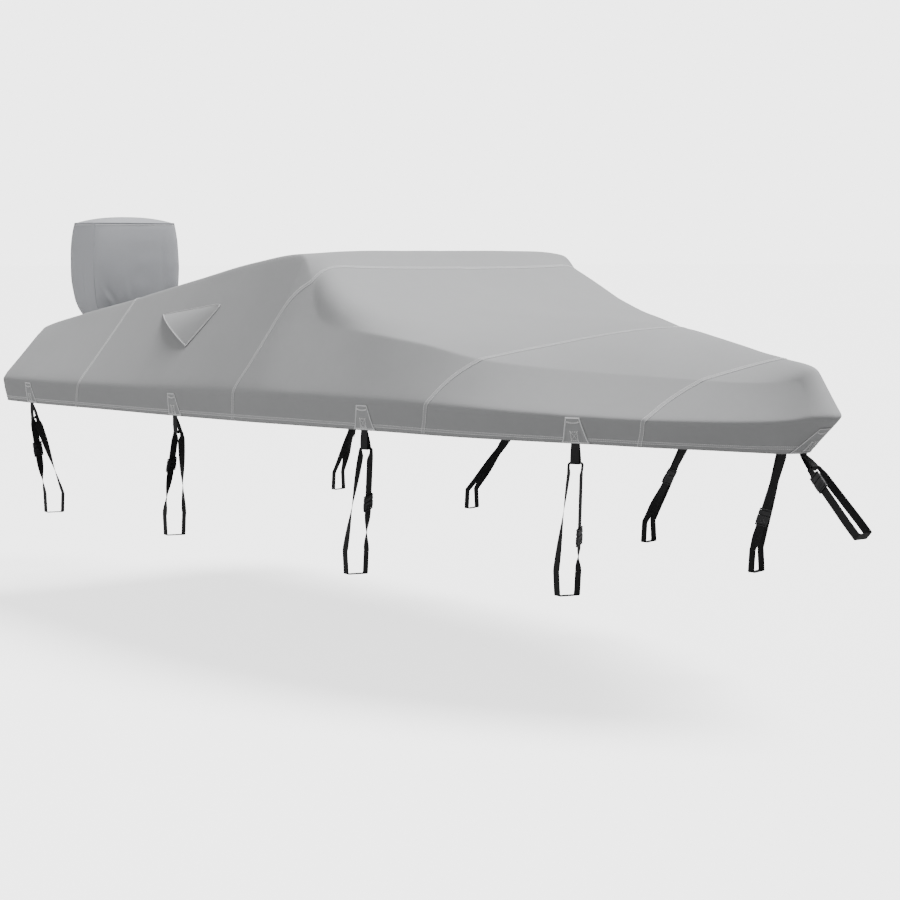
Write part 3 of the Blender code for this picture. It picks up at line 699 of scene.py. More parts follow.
class CoverSkin:
    """The cover's outer face: a top grid and rings round it down to the hem."""

    def __init__(self, ripple):
        self.ripple = ripple
        start, end = SHOULDER[0][0], SHOULDER[-1][0]
        marks = [start]
        for low, high, steps in STEPS_ALONG:
            marks += [low + (high - low) * (k + 1) / steps for k in range(steps)]
        self.stations = [(x - start) / (end - start) for x in marks]
        self.last, self.far = len(marks) - 1, STEPS_ACROSS
        ticks = [2.0 * j / STEPS_ACROSS - 1.0 for j in range(STEPS_ACROSS + 1)]
        self.spread = [0.72 * sin(0.5 * pi * s) + 0.28 * s for s in ticks]
        self.rings_down = [("side", u) for u in SIDE_AT] + [("skirt", u) for u in SKIRT_AT]
        self.points, self.faces, self.coords = [], [], []
        self.lay_out()
        self.soften_folds()
        self.tree = BVHTree.FromPolygons(self.points, self.faces)

    def lay_out(self):
        """The top's grid of points, the rings round it down to the hem, the faces."""
        last, far = self.last, self.far
        for f in self.stations:
            x, half, edge, middle, power = row_at(SHOULDER, f)
            line, runs = [], [0.0]
            for t in self.spread:
                h = edge + (middle - edge) * (1.0 - abs(t) ** power)
                line.append(edge_point((x, half, h), NOSE_TOP, f, t))
            for a, b in zip(line, line[1:]):
                runs.append(runs[-1] + (b - a).length)
            self.points += line
            self.coords += [(x, run - 0.5 * runs[-1]) for run in runs]
        self.border = [(0, j) for j in range(far + 1)]
        self.border += [(i, far) for i in range(1, last + 1)]
        self.border += [(last, j) for j in range(far - 1, -1, -1)]
        self.border += [(i, 0) for i in range(last - 1, 0, -1)]
        self.index = [[self.top_point(i, j) for i, j in self.border]]
        rims, hems = ([row_at(table, f) for f in self.stations] for table in (RIM, HEM))
        for kind, u in self.rings_down:
            ring = []
            for b, (i, j) in enumerate(self.border):
                f, t = self.stations[i], self.spread[j]
                upper = self.points[self.index[0][b]]
                rim = edge_point(rims[i], NOSE_RIM, f, t)
                if kind == "side":
                    p, drop = upper.lerp(rim, u), (rim - upper).length * u
                else:
                    hem = edge_point(hems[i], NOSE_HEM, f, t)
                    p, drop = rim.lerp(hem, u), (rim - upper).length + (hem - rim).length * u
                ring.append(len(self.points))
                self.points.append(p)
                cx, cy = self.coords[self.index[0][b]]
                if j in (0, far):
                    self.coords.append((p.x, cy + (drop if j else -drop)))
                else:
                    self.coords.append((cx + (drop if i else -drop), cy))
            self.index.append(ring)
        self.faces = grid_faces(last + 1, far + 1)
        for upper, lower in zip(self.index, self.index[1:]):
            for b, start in enumerate(upper):
                n = (b + 1) % len(upper)
                self.faces.append((start, upper[n], lower[n], lower[b]))

    def top_point(self, i, j):
        """Number of the top's point at station i and column j."""
        return i * (self.far + 1) + j

    def fold_points(self):
        """Points at the shoulder, the rim and the nose, each with its passes."""
        last, far, sides = self.last, self.far, len(SIDE_AT)
        top = [(i, j) for i in range(last + 1) for j in range(far + 1)]
        near_fold = {v for ring in self.index[:4] for v in ring}
        near_fold.update(self.top_point(i, j) for i, j in top if min(i, last - i, j, far - j) <= 2)
        at_rim = {v for ring in self.index[sides - 2 : sides + 4] for v in ring}
        at_nose = {self.top_point(i, j) for i, j in top if i >= last - NOSE_STEPS}
        for b, (i, _) in enumerate(self.border):
            if i >= last - NOSE_STEPS:
                at_nose.update(ring[b] for ring in self.index[: sides - 3])
        return (near_fold, 4), (at_rim, 8), (at_nose, 12)

    def soften_folds(self):
        """Rounds the shoulder, rim and nose, then adds soft unevenness."""
        neighbours = {}
        for face in self.faces:
            for a, b in zip(face, face[1:] + face[:1]):
                neighbours.setdefault(a, set()).add(b)
                neighbours.setdefault(b, set()).add(a)
        for chosen, passes in self.fold_points():
            for _ in range(passes):
                moved = {}
                for v in chosen:
                    around = neighbours[v]
                    mean = sum((self.points[k] for k in around), Vector()) / len(around)
                    moved[v] = self.points[v].lerp(mean, 0.5)
                for v, p in moved.items():
                    self.points[v] = p
        self.normals = self.find_normals()
        hem = set(self.index[-1])
        for v, p in enumerate(self.points):
            calm = 0.35 if v in hem else 1.0
            self.points[v] = p + self.normals[v] * (self.uneven(p) * calm)
        self.normals = self.find_normals()

    def uneven(self, p):
        """Soft hollows, and the pull lines over the tabs."""
        q = Vector((p.x * 1.1, abs(p.y) * 1.6, p.z * 2.2))
        side = 7.0 if p.y > 0.0 else 0.0
        low = noise.noise(q + Vector((side, 0.0, 3.1)))
        mid = noise.noise(q * 3.1 + Vector((side, 5.2, 0.0)))
        total = self.ripple * (low + 0.42 * mid) - 0.3 * self.ripple
        height = p.z - heights(0.0)
        if height < PULL_TOP:
            offs = [p.x - row[0] for row in SITES]
            total += sum(pull_lines(off, height) for off in offs if abs(off) < PULL_REACH)
        return total

    def find_normals(self):
        sums = [Vector() for _ in self.points]
        for face in self.faces:
            a, b, c, d = (self.points[v] for v in face)
            normal = (c - a).cross(d - b)
            for v in face:
                sums[v] += normal
        return [s.normalized() for s in sums]

    def station_of(self, x, line=SHOULDER):
        """The grid's station, as a number with a fraction, at x on a line."""
        f = (x - line[0][0]) / (line[-1][0] - line[0][0])
        for i in range(self.last):
            if f <= self.stations[i + 1]:
                step = self.stations[i + 1] - self.stations[i]
                return i + max(0.0, (f - self.stations[i]) / step)
        return float(self.last)

    def mix(self, corners):
        """Weighted point and normal of some grid points."""
        point = sum((self.points[v] * w for v, w in corners), Vector())
        normal = sum((self.normals[v] * w for v, w in corners), Vector())
        return point, normal.normalized()

    def on_ring(self, k, b):
        """Point and normal at ring k and border place b, both with fractions."""
        count = len(self.border)
        k0, b0 = min(int(k), len(self.index) - 2), int(b) % count
        u, v = k - k0, b - int(b)
        upper, lower = self.index[k0 : k0 + 2]
        b1 = (b0 + 1) % count
        return self.mix(
            (
                (upper[b0], (1 - u) * (1 - v)),
                (upper[b1], (1 - u) * v),
                (lower[b0], u * (1 - v)),
                (lower[b1], u * v),
            )
        )

    def on_top(self, station, j):
        """Point and normal of the top at a station and a column."""
        i = min(int(station), self.last - 1)
        u = station - i
        return self.mix(((self.top_point(i, j), 1 - u), (self.top_point(i + 1, j), u)))

    def side_place(self, station, side):
        """Border place of a station on the starboard (1) or port (-1) side."""
        if side < 0:
            return self.far + station
        return self.far + self.last + self.far + (self.last - station)

    def ring_at(self, above_hem):
        """Ring number, with a fraction, at a height above the hem."""
        share = 1.0 - above_hem / SKIRT_DEEP
        marks = (0.0, *SKIRT_AT)
        for k in range(len(marks) - 1):
            if share <= marks[k + 1]:
                return len(SIDE_AT) + k + (share - marks[k]) / (marks[k + 1] - marks[k])
        return float(len(self.index) - 1)

    def around(self, above_hem):
        """Points and normals all the way round at a height above the hem."""
        k = self.ring_at(above_hem)
        return [self.on_ring(k, b) for b in range(len(self.border))]

    def under(self, start, direction):
        """Where a ray from outside meets the cloth, and the cloth's normal."""
        hit, normal = self.tree.ray_cast(start, direction)[:2]
        if hit is None:
            raise RuntimeError("a sewn piece reaches past the cloth")
        return hit, normal


def ring_share(skin, k):
    """Part of the cover and share of it, down from its upper edge, at ring k."""
    low, high = int(k), min(int(k) + 1, len(skin.rings_down))
    a = skin.rings_down[low - 1] if low else ("side", 0.0)
    b = skin.rings_down[high - 1]
    start = a[1] if a[0] == b[0] else 0.0
    return b[0], start + (b[1] - start) * (k - low)


def seam_line(skin, seam):
    """Points and normals of a cross seam from one hem over the top to the other."""
    hem, rim, shoulder, middle, power = seam
    rings = len(skin.index)

    def up(side):
        line = []
        for step in range(2 * (rings - 1), 1, -1):
            k = 0.5 * step
            kind, u = ring_share(skin, k)
            if kind == "skirt":
                a, b = skin.station_of(rim, RIM), skin.station_of(hem, HEM)
                station = a + (b - a) * u
            else:
                a, b = skin.station_of(shoulder), skin.station_of(rim, RIM)
                bow = 0.10 * sin(pi * u) * (b - a)
                station = a + (b - a) * u + bow
            line.append(skin.on_ring(k, skin.side_place(station, side)))
        return line

    over = []
    for j in range(skin.far + 1):
        t = skin.spread[j]
        x = shoulder + (middle - shoulder) * (1.0 - abs(t) ** power)
        over.append(skin.on_top(skin.station_of(x), j))
    starboard, port = up(1)[1:], up(-1)[1:]
    return starboard + over + port[::-1]


def smooth_line(line, passes=3):
    """A line of (point, normal) with its kinks eased."""
    for _ in range(passes):
        eased = [line[0]]
        for a, b, c in zip(line, line[1:], line[2:]):
            point = (a[0] + b[0] * 2.0 + c[0]) * 0.25
            eased.append((point, (a[1] + b[1] * 2.0 + c[1]).normalized()))
        line = eased + [line[-1]]
    return line


def settle(skin, line):
    """The line's points moved to the nearest place on the cloth."""
    return [(skin.tree.find_nearest(point)[0], normal) for point, normal in line]


def lifted(line, lift, sideways=0.0, closed=False):
    """Points over a line of (point, normal), off its middle by sideways."""
    out = []
    count = len(line)
    for k, (point, normal) in enumerate(line):
        before = line[(k - 1) % count if closed else max(k - 1, 0)][0]
        after = line[(k + 1) % count if closed else min(k + 1, count - 1)][0]
        run = (after - before).normalized()
        out.append(point + normal * lift + run.cross(normal) * sideways)
    return out


def band(name, line, width, lift, mat, closed=False, thickness=0.0007):
    """A sewn band with softly dropped edges along a line on the cloth."""
    points, coords, run = [], [], 0.0
    rows = [lifted(line, lift + d * thickness, c * width, closed) for c, d in BAND_EDGE]
    for k, (point, _) in enumerate(line):
        run += (point - line[k - 1][0]).length if k else 0.0
        points += [row[k] for row in rows]
        coords += [(c * width, run) for c, _ in BAND_EDGE]
    faces = grid_faces(len(line), len(BAND_EDGE), closed_rows=closed)
    obj = mesh_piece(name, points, faces, coords, mat)
    look_same_way(obj.data, 2 * len(BAND_EDGE) + 2, line[2][1])
    wall(obj, thickness, -1.0)
    return obj


def look_same_way(mesh, number, normal):
    """Turns a mesh over if one of its faces looks away from a normal."""
    if mesh.polygons[number].normal.dot(normal) < 0.0:
        mesh.flip_normals()


# ----------------------------------------------------------------- stitches


def stitch_tree():
    """Geometry nodes that lay thread along every line of a wire mesh."""
    tree = bpy.data.node_groups.new("sewn_stitches", "GeometryNodeTree")
    face = tree.interface
    face.new_socket("Geometry", in_out="INPUT", socket_type="NodeSocketGeometry")
    sizes = (("Pitch", STITCH_PITCH), ("Stitch length", STITCH_LENGTH), ("Thread radius", THREAD_RADIUS))
    for label, value in sizes:
        face.new_socket(label, in_out="INPUT", socket_type=FLOAT).default_value = value
    face.new_socket("Thread", in_out="INPUT", socket_type="NodeSocketMaterial")
    face.new_socket("Geometry", in_out="OUTPUT", socket_type="NodeSocketGeometry")
    add = tree.nodes.new
    get, put = add("NodeGroupInput"), add("NodeGroupOutput")
    curve, spaced = add("GeometryNodeMeshToCurve"), add("GeometryNodeResampleCurve")
    spaced.mode = "LENGTH"
    thread = add("GeometryNodeMeshCylinder")
    thread.inputs["Vertices"].default_value = 5
    tangent, turn = add("GeometryNodeInputTangent"), add("FunctionNodeAlignRotationToVector")
    turn.axis = "Z"
    place, real = add("GeometryNodeInstanceOnPoints"), add("GeometryNodeRealizeInstances")
    finish = add("GeometryNodeSetMaterial")
    for source, output, target, socket in (
        (get, "Geometry", curve, "Mesh"),
        (curve, "Curve", spaced, "Curve"),
        (get, "Pitch", spaced, "Length"),
        (get, "Stitch length", thread, "Depth"),
        (get, "Thread radius", thread, "Radius"),
        (tangent, "Tangent", turn, "Vector"),
        (spaced, "Curve", place, "Points"),
        (thread, "Mesh", place, "Instance"),
        (turn, "Rotation", place, "Rotation"),
        (place, "Instances", real, "Geometry"),
        (real, "Geometry", finish, "Geometry"),
        (get, "Thread", finish, "Material"),
        (finish, "Geometry", put, "Geometry"),
    ):
        tree.links.new(source.outputs[output], target.inputs[socket])
    return tree


def sew(name, lines, values):
    """One mesh of stitches along (points, closed) lines."""
    points, edges = [], []
    for line, closed in lines:
        first = len(points)
        points += [tuple(p) for p in line]
        edges += [(first + k, first + k + 1) for k in range(len(line) - 1)]
        if closed:
            edges.append((first + len(line) - 1, first))
    wire = bpy.data.meshes.new(name + "_wire")
    wire.from_pydata(points, edges, [])
    guide = link(name + "_wire", wire)
    laid = guide.modifiers.new("Stitches", "NODES")
    laid.node_group = bpy.data.node_groups.get("sewn_stitches") or stitch_tree()
    for item in laid.node_group.interface.items_tree:
        if item.in_out == "INPUT" and item.name in values:
            laid[item.identifier] = values[item.name]
    graph = bpy.context.evaluated_depsgraph_get()
    mesh = bpy.data.meshes.new_from_object(guide.evaluated_get(graph))
    mesh.name = name
    mesh.polygons.foreach_set("use_smooth", [False] * len(mesh.polygons))
    bpy.data.objects.remove(guide, do_unlink=True)
    obj = link(name, mesh)
    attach(obj, "root")
    return obj


# ----------------------------------------------------------- tabs and loops


class Site:
    """Local frame of one tab: t along the hem, n level outward, pull down."""

    def __init__(self, skin, hem_point, t, slant):
        self.skin = skin
        self.hem = hem_point
        self.set_along(t)
        ends = [self.on_skirt(0.5 * LOOP_WIDTH * c, 0.02)[0] for c in (-1, 1)]
        self.set_along(ends[1] - ends[0])
        self.pull = self.n * cos(slant) - UP * sin(slant)
        self.face = self.n * sin(slant) + UP * cos(slant)

    def set_along(self, t):
        """Lays t level and sets n square to it."""
        self.t = Vector((t.x, t.y, 0.0)).normalized()
        self.n = Vector((self.t.y, -self.t.x, 0.0))

    def on_skirt(self, along, rise):
        """Point of the skirt and its normal."""
        start = self.hem + self.t * along + self.n * 0.25 + UP * rise
        return self.skin.under(start, -self.n)

    def on_seat(self, rise, lift):
        """Point over the middle, clear of the cloth over the webbing's width."""
        middle = self.on_skirt(0.0, rise)[0]
        hits = [self.on_skirt(c * LOOP_WIDTH, rise)[0] for c in (-0.5, -0.25, 0.0, 0.25, 0.5)]
        proud = max((hit - middle).dot(self.n) for hit in hits)
        return middle + self.n * (proud + lift)

    def below(self, down, out=0.0):
        """Point under the hem, along the pull and square to it."""
        edge = self.on_seat(0.004, 0.0) - UP * 0.004
        return edge + self.pull * down + self.face * out


def side_site(skin, row):
    """The starboard site of a row of SITES."""
    x, foot_y, foot_z = row[0], row[2], row[3]
    step = 0.02
    half, h = table_at(HEM, x)
    ahead, behind = table_at(HEM, x + step), table_at(HEM, x - step)
    t = Vector((2.0 * step, behind[0] - ahead[0], 0.0))
    slant = 0.5 * pi + min((half - foot_y) / (h - foot_z), 0.35)
    return Site(skin, Vector((x, -half, heights(h))), t, slant)


def bow_site(skin):
    """The site at the stem."""
    x = HEM[-1][0] + NOSE_HEM
    hem_point = Vector((x, 0.0, heights(HEM[-1][2])))
    return Site(skin, hem_point, Vector((0.0, 1.0, 0.0)), BOW_SLANT)


def patch_point(site, along, rise, lift):
    """Point of a patch's inner face, humped over the webbing, and its normal."""
    hump = 2.0 * (WEB + GAP)
    flank = 0.5 * LOOP_WIDTH + 0.001
    past_end = ease((rise - SEWN - 0.002) / 0.018)
    cloth, normal = site.on_skirt(along, rise)
    cloth = cloth + normal * 0.0009
    over = (site.on_seat(rise, GAP + hump) - cloth).dot(site.n)
    weight = ease(1.0 - (abs(along) - flank) / 0.012)
    over = max(over, 0.0) * weight * (1.0 - past_end)
    return cloth + site.n * (over + lift), normal


def tab_half(rise):
    """Half width of the patch at a height over the hem, flared at its foot."""
    v = (rise - TAB_LOW) / TAB_HEIGHT
    flare = 0.010 * (1.0 - ease(v / 0.16))
    return 0.5 * (TAB_FOOT - 0.012 + (TAB_HEAD - TAB_FOOT + 0.012) * v) + 0.6 * flare


def between(a, b, steps):
    """Even stops from one (along, rise) to another."""
    return [tuple(p + (q - p) * k / steps for p, q in zip(a, b)) for k in range(steps + 1)]


def tab_edges():
    """Stops of the patch's bound edges with their widths, and of its tack."""
    head, foot, inset = TAB_HEIGHT - 0.003, 0.007, 0.0045
    rises = [foot + (head - foot) * k / 18 for k in range(19)]
    aft, fore = ([(end * (tab_half(rise) - inset), rise) for rise in rises] for end in (-1, 1))
    bars = (
        (aft, 0.0062),
        (fore, 0.0062),
        (between(aft[0], fore[0], 26), 0.0072),
        (between(aft[-1], fore[-1], 12), 0.0062),
    )
    turns = [2.0 * k / 14 - 1.0 for k in range(15)]
    return bars, [(u * 0.026, head - 0.0165 - 0.0045 * (1.0 - u * u)) for u in turns]


def tab_box():
    """Stops of the double stitched box and of its two diagonals."""
    low, high, half = BOX_LOW, BOX_HIGH, BOX_HALF
    corners = [(-half, low), (half, low), (half, high), (-half, high), (-half, low)]

    def inward(corner, inner):
        along, rise = corner
        return along * (1 - inner / half), rise + (inner if rise == low else -inner)

    out = []
    for a, b in zip(corners, corners[1:]):
        for inner in (0.0, BOX_INNER):
            out.append(between(inward(a, inner), inward(b, inner), 10))
    return out + [between(corners[k], corners[k + 2], 14) for k in (0, 1)]


def tab_pieces(place, site, side, finishes):
    """Patch, its bindings and its lengths at the foot, the head and the middle."""
    grid = []
    for i in range(TAB_ROWS):
        rise = TAB_LOW + TAB_HEIGHT * i / (TAB_ROWS - 1)
        half = tab_half(rise)
        row = []
        for j in range(TAB_COLUMNS):
            along = half * (2.0 * j / (TAB_COLUMNS - 1) - 1.0)
            row.append(across(patch_point(site, along, rise, 0.0)[0], side))
        grid.append(row)
    patch = patch_sheet(f"tab_patch_{place}", grid, finishes.patch, across(site.n, side))

    def trace(stops):
        """Points over the patch, and normals, along stops of (along, rise)."""
        line = []
        for along, rise in stops:
            point, normal = patch_point(site, along, rise, PATCH + 0.0003)
            line.append((across(point, side), across((normal + site.n).normalized(), side)))
        return line

    bars, arc = tab_edges()
    mat = finishes.binding
    trims = []
    for number, (stops, width) in enumerate(bars):
        trims.append(band(f"tab_binding_{place}_{number}", trace(stops), width, 0.0002, mat))
    trims.append(band(f"tab_tack_{place}", trace(arc), 0.0068, 0.0005, mat, thickness=0.0011))
    merged = join_pieces(f"tab_binding_{place}", trims)
    for stops, _ in bars:
        stitch(lifted(trace(stops), 0.0011))
    for shift in (-0.0022, 0.0, 0.0022):
        stitch(lifted(trace(arc), 0.0020, shift))
    for stops in tab_box():
        stitch(lifted(trace(stops), 0.0006))
    spans = grid[0], grid[-1], [row[TAB_COLUMNS // 2] for row in grid]
    runs = [sum((q - p).length for p, q in zip(row, row[1:])) for row in spans]
    return patch, merged, runs


def join_pieces(name, pieces):
    """One mesh of several, with their modifiers applied."""
    graph = bpy.context.evaluated_depsgraph_get()
    bm = bmesh.new()
    mats, layers = [], []
    for piece in pieces:
        mesh = bpy.data.meshes.new_from_object(piece.evaluated_get(graph))
        if mesh.materials[0] not in mats:
            mats.append(mesh.materials[0])
        number = mats.index(mesh.materials[0])
        mesh.polygons.foreach_set("material_index", [number] * len(mesh.polygons))
        bm.from_mesh(mesh)
        layers.append(mesh)
    joined = bpy.data.meshes.new(name)
    bm.to_mesh(joined)
    bm.free()
    for mat in mats:
        joined.materials.append(mat)
    for piece in pieces:
        bpy.data.objects.remove(piece, do_unlink=True)
    for layer in layers:
        bpy.data.meshes.remove(layer)
    return link(name, joined)


# ------------------------------------------------------------------ webbing


def webbing(name, path, mat, closed=False, curl=None):
    """Webbing with rounded edges along (point, width direction, width).

    curl gives the side that the edges of drawn-together webbing turn to.
    """
    count = len(path)
    points, coords, run = [], [], 0.0
    for k, (point, wide, width) in enumerate(path):
        before = path[(k - 1) % count][0] if closed or k else point
        after = path[(k + 1) % count][0] if closed or k < count - 1 else point
        ahead = (after - before).normalized()
        wide = (wide - ahead * wide.dot(ahead)).normalized()
        thick = ahead.cross(wide)
        run += (point - path[k - 1][0]).length if k else 0.0
        drawn = max(0.0, 1.0 - width / STRAP_WIDTH)
        away = 0.0
        if curl is not None and drawn > 0.0:
            away = (1.0 if thick.dot(point - curl) > 0.0 else -1.0) * 0.014 * drawn
        for face, columns in ((-1, WEB_EDGE), (1, WEB_EDGE[::-1])):
            for share, deep in columns:
                lift = face * deep * 0.5 * WEB + away * share * share
                points.append(point + wide * (0.5 * width * share) + thick * lift)
                coords.append((0.5 * STRAP_WIDTH * (share + 1.0), run))
    ring = 2 * len(WEB_EDGE)
    faces = grid_faces(count, ring, closed_rows=closed, closed_cols=True)
    if not closed:
        faces.append(tuple(range(ring))[::-1])
        faces.append(tuple(range((count - 1) * ring, count * ring)))
    obj = mesh_piece(name, points, faces, coords, mat)
    agree(obj.data)
    return obj


def bend(centre, axis_a, axis_b, radius, steps=8):
    """Points of a quarter bend from centre + a to centre + b."""
    out = []
    for k in range(steps + 1):
        turn = 0.5 * pi * k / steps
        out.append(centre + (axis_a * cos(turn) + axis_b * sin(turn)) * radius)
    return out


def loop_path(site):
    """Side view of a webbing loop: up under the patch, round, and up again."""
    low, high = GAP + 0.5 * WEB, 1.5 * WEB + 2.0 * GAP
    flat = 0.5 * BUNCHED + GAP
    rises = (SEWN, 0.036, 0.022, 0.012, 0.004)
    back = [site.on_seat(rise, low) for rise in rises]
    front = [site.on_seat(rise, high) for rise in rises[::-1]]
    below_low, below_high = back[-1] - UP * 0.010, front[0] - UP * 0.010
    turn_back, turn_front = (site.below(LOOP_DROP - FOLD, out) for out in (-flat, flat))
    down, up = [], []
    for k in range(1, 9):
        u = k / 9
        sag = 0.0022 * sin(pi * u)
        down.append(below_low.lerp(turn_back - site.face * FOLD, u) - site.face * sag)
        up.append(below_high.lerp(turn_front + site.face * FOLD, u) + site.face * sag)
    round_back = bend(turn_back, -site.face, site.pull, FOLD, 5)
    round_front = bend(turn_front, site.pull, site.face, FOLD, 5)
    return [*back, below_low, *down, *round_back, *round_front, *up[::-1], below_high, *front]


def leg(top, foot, wide_top, wide_foot, calm_until, steps=26):
    """A strap leg below its top: it spreads, and twists past calm_until."""
    length = (foot - top).length
    spread, calm = SPREAD / length, calm_until / length
    out = []
    for k in range(1, 7):
        width = BUNCHED + (STRAP_WIDTH - BUNCHED) * ease(k / 6)
        out.append((top.lerp(foot, spread * (k / 6)), wide_top, width))
    if calm > spread:
        for k in range(1, 7):
            out.append((top.lerp(foot, spread + (calm - spread) * k / 6), wide_top, STRAP_WIDTH))
    start = max(spread, calm)
    for k in range(1, steps + 1):
        wide = wide_top.slerp(wide_foot, ease(k / steps))
        out.append((top.lerp(foot, start + (1.0 - start) * k / steps), wide, STRAP_WIDTH))
    return out


def strap_head(site):
    """Points of the strap over the inside of the loop's end, aft to fore."""
    middle = site.below(LOOP_DROP - 0.5 * WEB - GAP - 0.5 * WEB)
    half = 0.5 * LOOP_WIDTH + BEND
    back = -site.pull
    aft_turn = middle - site.t * (half - BEND) + site.pull * BEND
    fore_turn = middle + site.t * (half - BEND) + site.pull * BEND
    aft = bend(aft_turn, -site.t, back, BEND)
    fore = bend(fore_turn, back, site.t, BEND)
    level = [aft[-1].lerp(fore[0], k / 4) for k in range(1, 4)]
    return aft + level, fore


def side_strap(site, row):
    """Closed path of a side strap, the frame of its buckle and its inside."""
    foot_x, foot_y, foot_h, buckle_leg, drop = row[1:]
    wide = -site.face if site.face.dot(site.n) < 0.0 else site.face
    aft, fore = strap_head(site)
    z = heights(foot_h)
    near, inboard = -foot_y, -foot_y + FOOT_DEEP
    level, inward = Vector((1.0, 0.0, 0.0)), Vector((0.0, 1.0, 0.0))
    fore_foot = Vector((foot_x + FOOT_SHIFT, inboard, z + FOOT_HIGH))
    aft_foot = Vector((foot_x - FOOT_SHIFT, near, z + FOOT_HIGH))
    under_in = Vector((foot_x + 0.6 * FOOT_SHIFT, inboard - BEND, z + BEND))
    under_out = Vector((foot_x - 0.6 * FOOT_SHIFT, near + BEND, z + BEND))
    calm = {-1: 0.0, 1: 0.0}
    calm[buckle_leg] = drop + 0.055
    path = [(p, wide, BUNCHED) for p in aft + fore]
    path += leg(fore[-1], fore_foot, wide, level, calm[1])
    under = bend(under_in, inward, -UP, BEND) + bend(under_out, -UP, -inward, BEND)
    path += [(p, level, STRAP_WIDTH) for p in under]
    path += leg(aft[0], aft_foot, wide, level, calm[-1])[::-1]
    top, foot = (fore[-1], fore_foot) if buckle_leg > 0 else (aft[0], aft_foot)
    return path, buckle_frame(top, foot, wide, drop), site.below(LOOP_DROP + 0.03)


def bow_strap(site):
    """The bow strap's flat closed path, its buckle's frame and its inside."""
    wide = site.face
    aft, fore = strap_head(site)
    far = site.below(LOOP_DROP + BOW_REACH)
    half = 0.5 * BOW_FOOT
    corner = half - BEND
    deep = site.pull * (BOW_FOOT - BEND)
    ends = [far - site.t * half, far + site.t * half]
    path = [(p, wide, BUNCHED) for p in aft + fore]
    path += leg(fore[-1], ends[1], wide, wide, 0.0, steps=12)
    turns = ((1.0, site.t, site.pull), (-1.0, site.pull, -site.t))
    for side, first, second in turns:
        centre = far + site.t * (corner * side) + deep
        path += [(p, wide, STRAP_WIDTH) for p in bend(centre, first, second, BEND)]
    path += leg(aft[0], ends[0], wide, wide, 0.0, steps=12)[::-1]
    return path, buckle_frame(aft[0], ends[0], wide, BOW_BUCKLE), site.below(LOOP_DROP + 0.03)


def buckle_frame(top, foot, wide, drop):
    """Middle, run, width and thickness directions of a buckle on a leg."""
    run = (foot - top).normalized()
    wide = (wide - run * wide.dot(run)).normalized()
    return top + run * drop, run, wide, run.cross(wide)


def length_of(path, closed):
    """Length of a path of (point, ...) rows."""
    total = sum((b[0] - a[0]).length for a, b in zip(path, path[1:]))
    return total + ((path[0][0] - path[-1][0]).length if closed else 0.0)


# ------------------------------------------------------------------- buckle


def box_ring(bm, frame, side, profile, inner):
    """A tube of rounded-rectangle rings along the buckle's run.

    profile holds (along, half width, half thickness); inner is the slot's half
    width and half thickness, or None for a solid block.
    """
    middle, run, wide, thick = frame

    def ring(along, half, deep, corner):
        base = middle + run * along
        out = []
        for a, b in ((-1, -1), (1, -1), (1, 1), (-1, 1)):
            cuts = ((a * (half - corner), b * deep), (a * half, b * (deep - corner)))
            for u, v in cuts[::-1] if a * b > 0 else cuts:
                out.append(bm.verts.new(across(base + wide * u + thick * v, side)))
        return out

    outer = [ring(a, w, d, min(BUCKLE_CORNER, 0.6 * d)) for a, w, d in profile]
    turns = [(k, (k + 1) % 8) for k in range(8)]
    for low, high in zip(outer, outer[1:]):
        for k, n in turns:
            bm.faces.new((low[k], low[n], high[n], high[k]))
    first, last = outer[0], outer[-1]
    if inner is None:
        bm.faces.new(first[::-1])
        bm.faces.new(last)
        return
    near, far = (ring(profile[end][0], *inner, 0.4 * inner[1]) for end in (0, -1))
    for k, n in turns:
        bm.faces.new((near[n], near[k], far[k], far[n]))
        bm.faces.new((first[n], first[k], near[k], near[n]))
        bm.faces.new((last[k], last[n], far[n], far[k]))


def buckle_piece(name, frame, side, mat):
    """Side release buckle: socket, plug, side prongs, ribs and end bars."""
    bm = bmesh.new()
    slot = (0.5 * STRAP_WIDTH + GAP, 0.5 * WEB + GAP)
    middle, run, wide, thick = frame
    box_ring(bm, frame, side, SOCKET, slot)
    box_ring(bm, frame, side, PLUG, slot)

    def block(along, off, out, *size):
        """A block with eased ends; its size is along, wide and thick."""
        length, half_wide, half_thick = size[0], 0.5 * size[1], 0.5 * size[2]
        eased, full = (half_wide * 0.86, half_thick * 0.8), (half_wide, half_thick)
        ends = ((-0.5, eased), (-0.36, full), (0.36, full), (0.5, eased))
        profile = [(along + share * length, *half) for share, half in ends]
        box_ring(bm, (middle + wide * off + thick * out, run, wide, thick), side, profile, None)

    for end in (-1, 1):
        block(-0.009, end * 0.0262, 0.0, 0.020, 0.0042, 0.0062)
        for face in (1, -1):
            block(end * 0.0388, 0.0, face * 0.0048, 0.0052, 0.0540, 0.0030)
        for hand in (1, -1):
            block(end * 0.0365, hand * 0.0258, 0.0, 0.0090, 0.0038, 0.0100)
        for k in range(5):
            block(0.009 + 0.0042 * k, 0.0, end * 0.0072, 0.0018, 0.030, 0.0016)
    bmesh.ops.recalc_face_normals(bm, faces=bm.faces)
    mesh = bpy.data.meshes.new(name)
    bm.to_mesh(mesh)
    bm.free()
    mesh.materials.append(mat)
    obj = link(name, mesh)
    soft = obj.modifiers.new("Edges", "BEVEL")
    soft.width = BUCKLE_EDGE
    soft.segments = 2
    soft.limit_method = "ANGLE"
    soft.angle_limit = radians(40)
    return obj


# -------------------------------------------------------------------- stage


def put_in(scene, data, at, direction, axis):
    """A camera or light in the scene, one of its axes along a direction."""
    obj = bpy.data.objects.new(data.name, data)
    obj.location = at
    obj.rotation_mode = "QUATERNION"
    obj.rotation_quaternion = direction.to_track_quat(axis, "Y")
    scene.collection.objects.link(obj)
    return obj


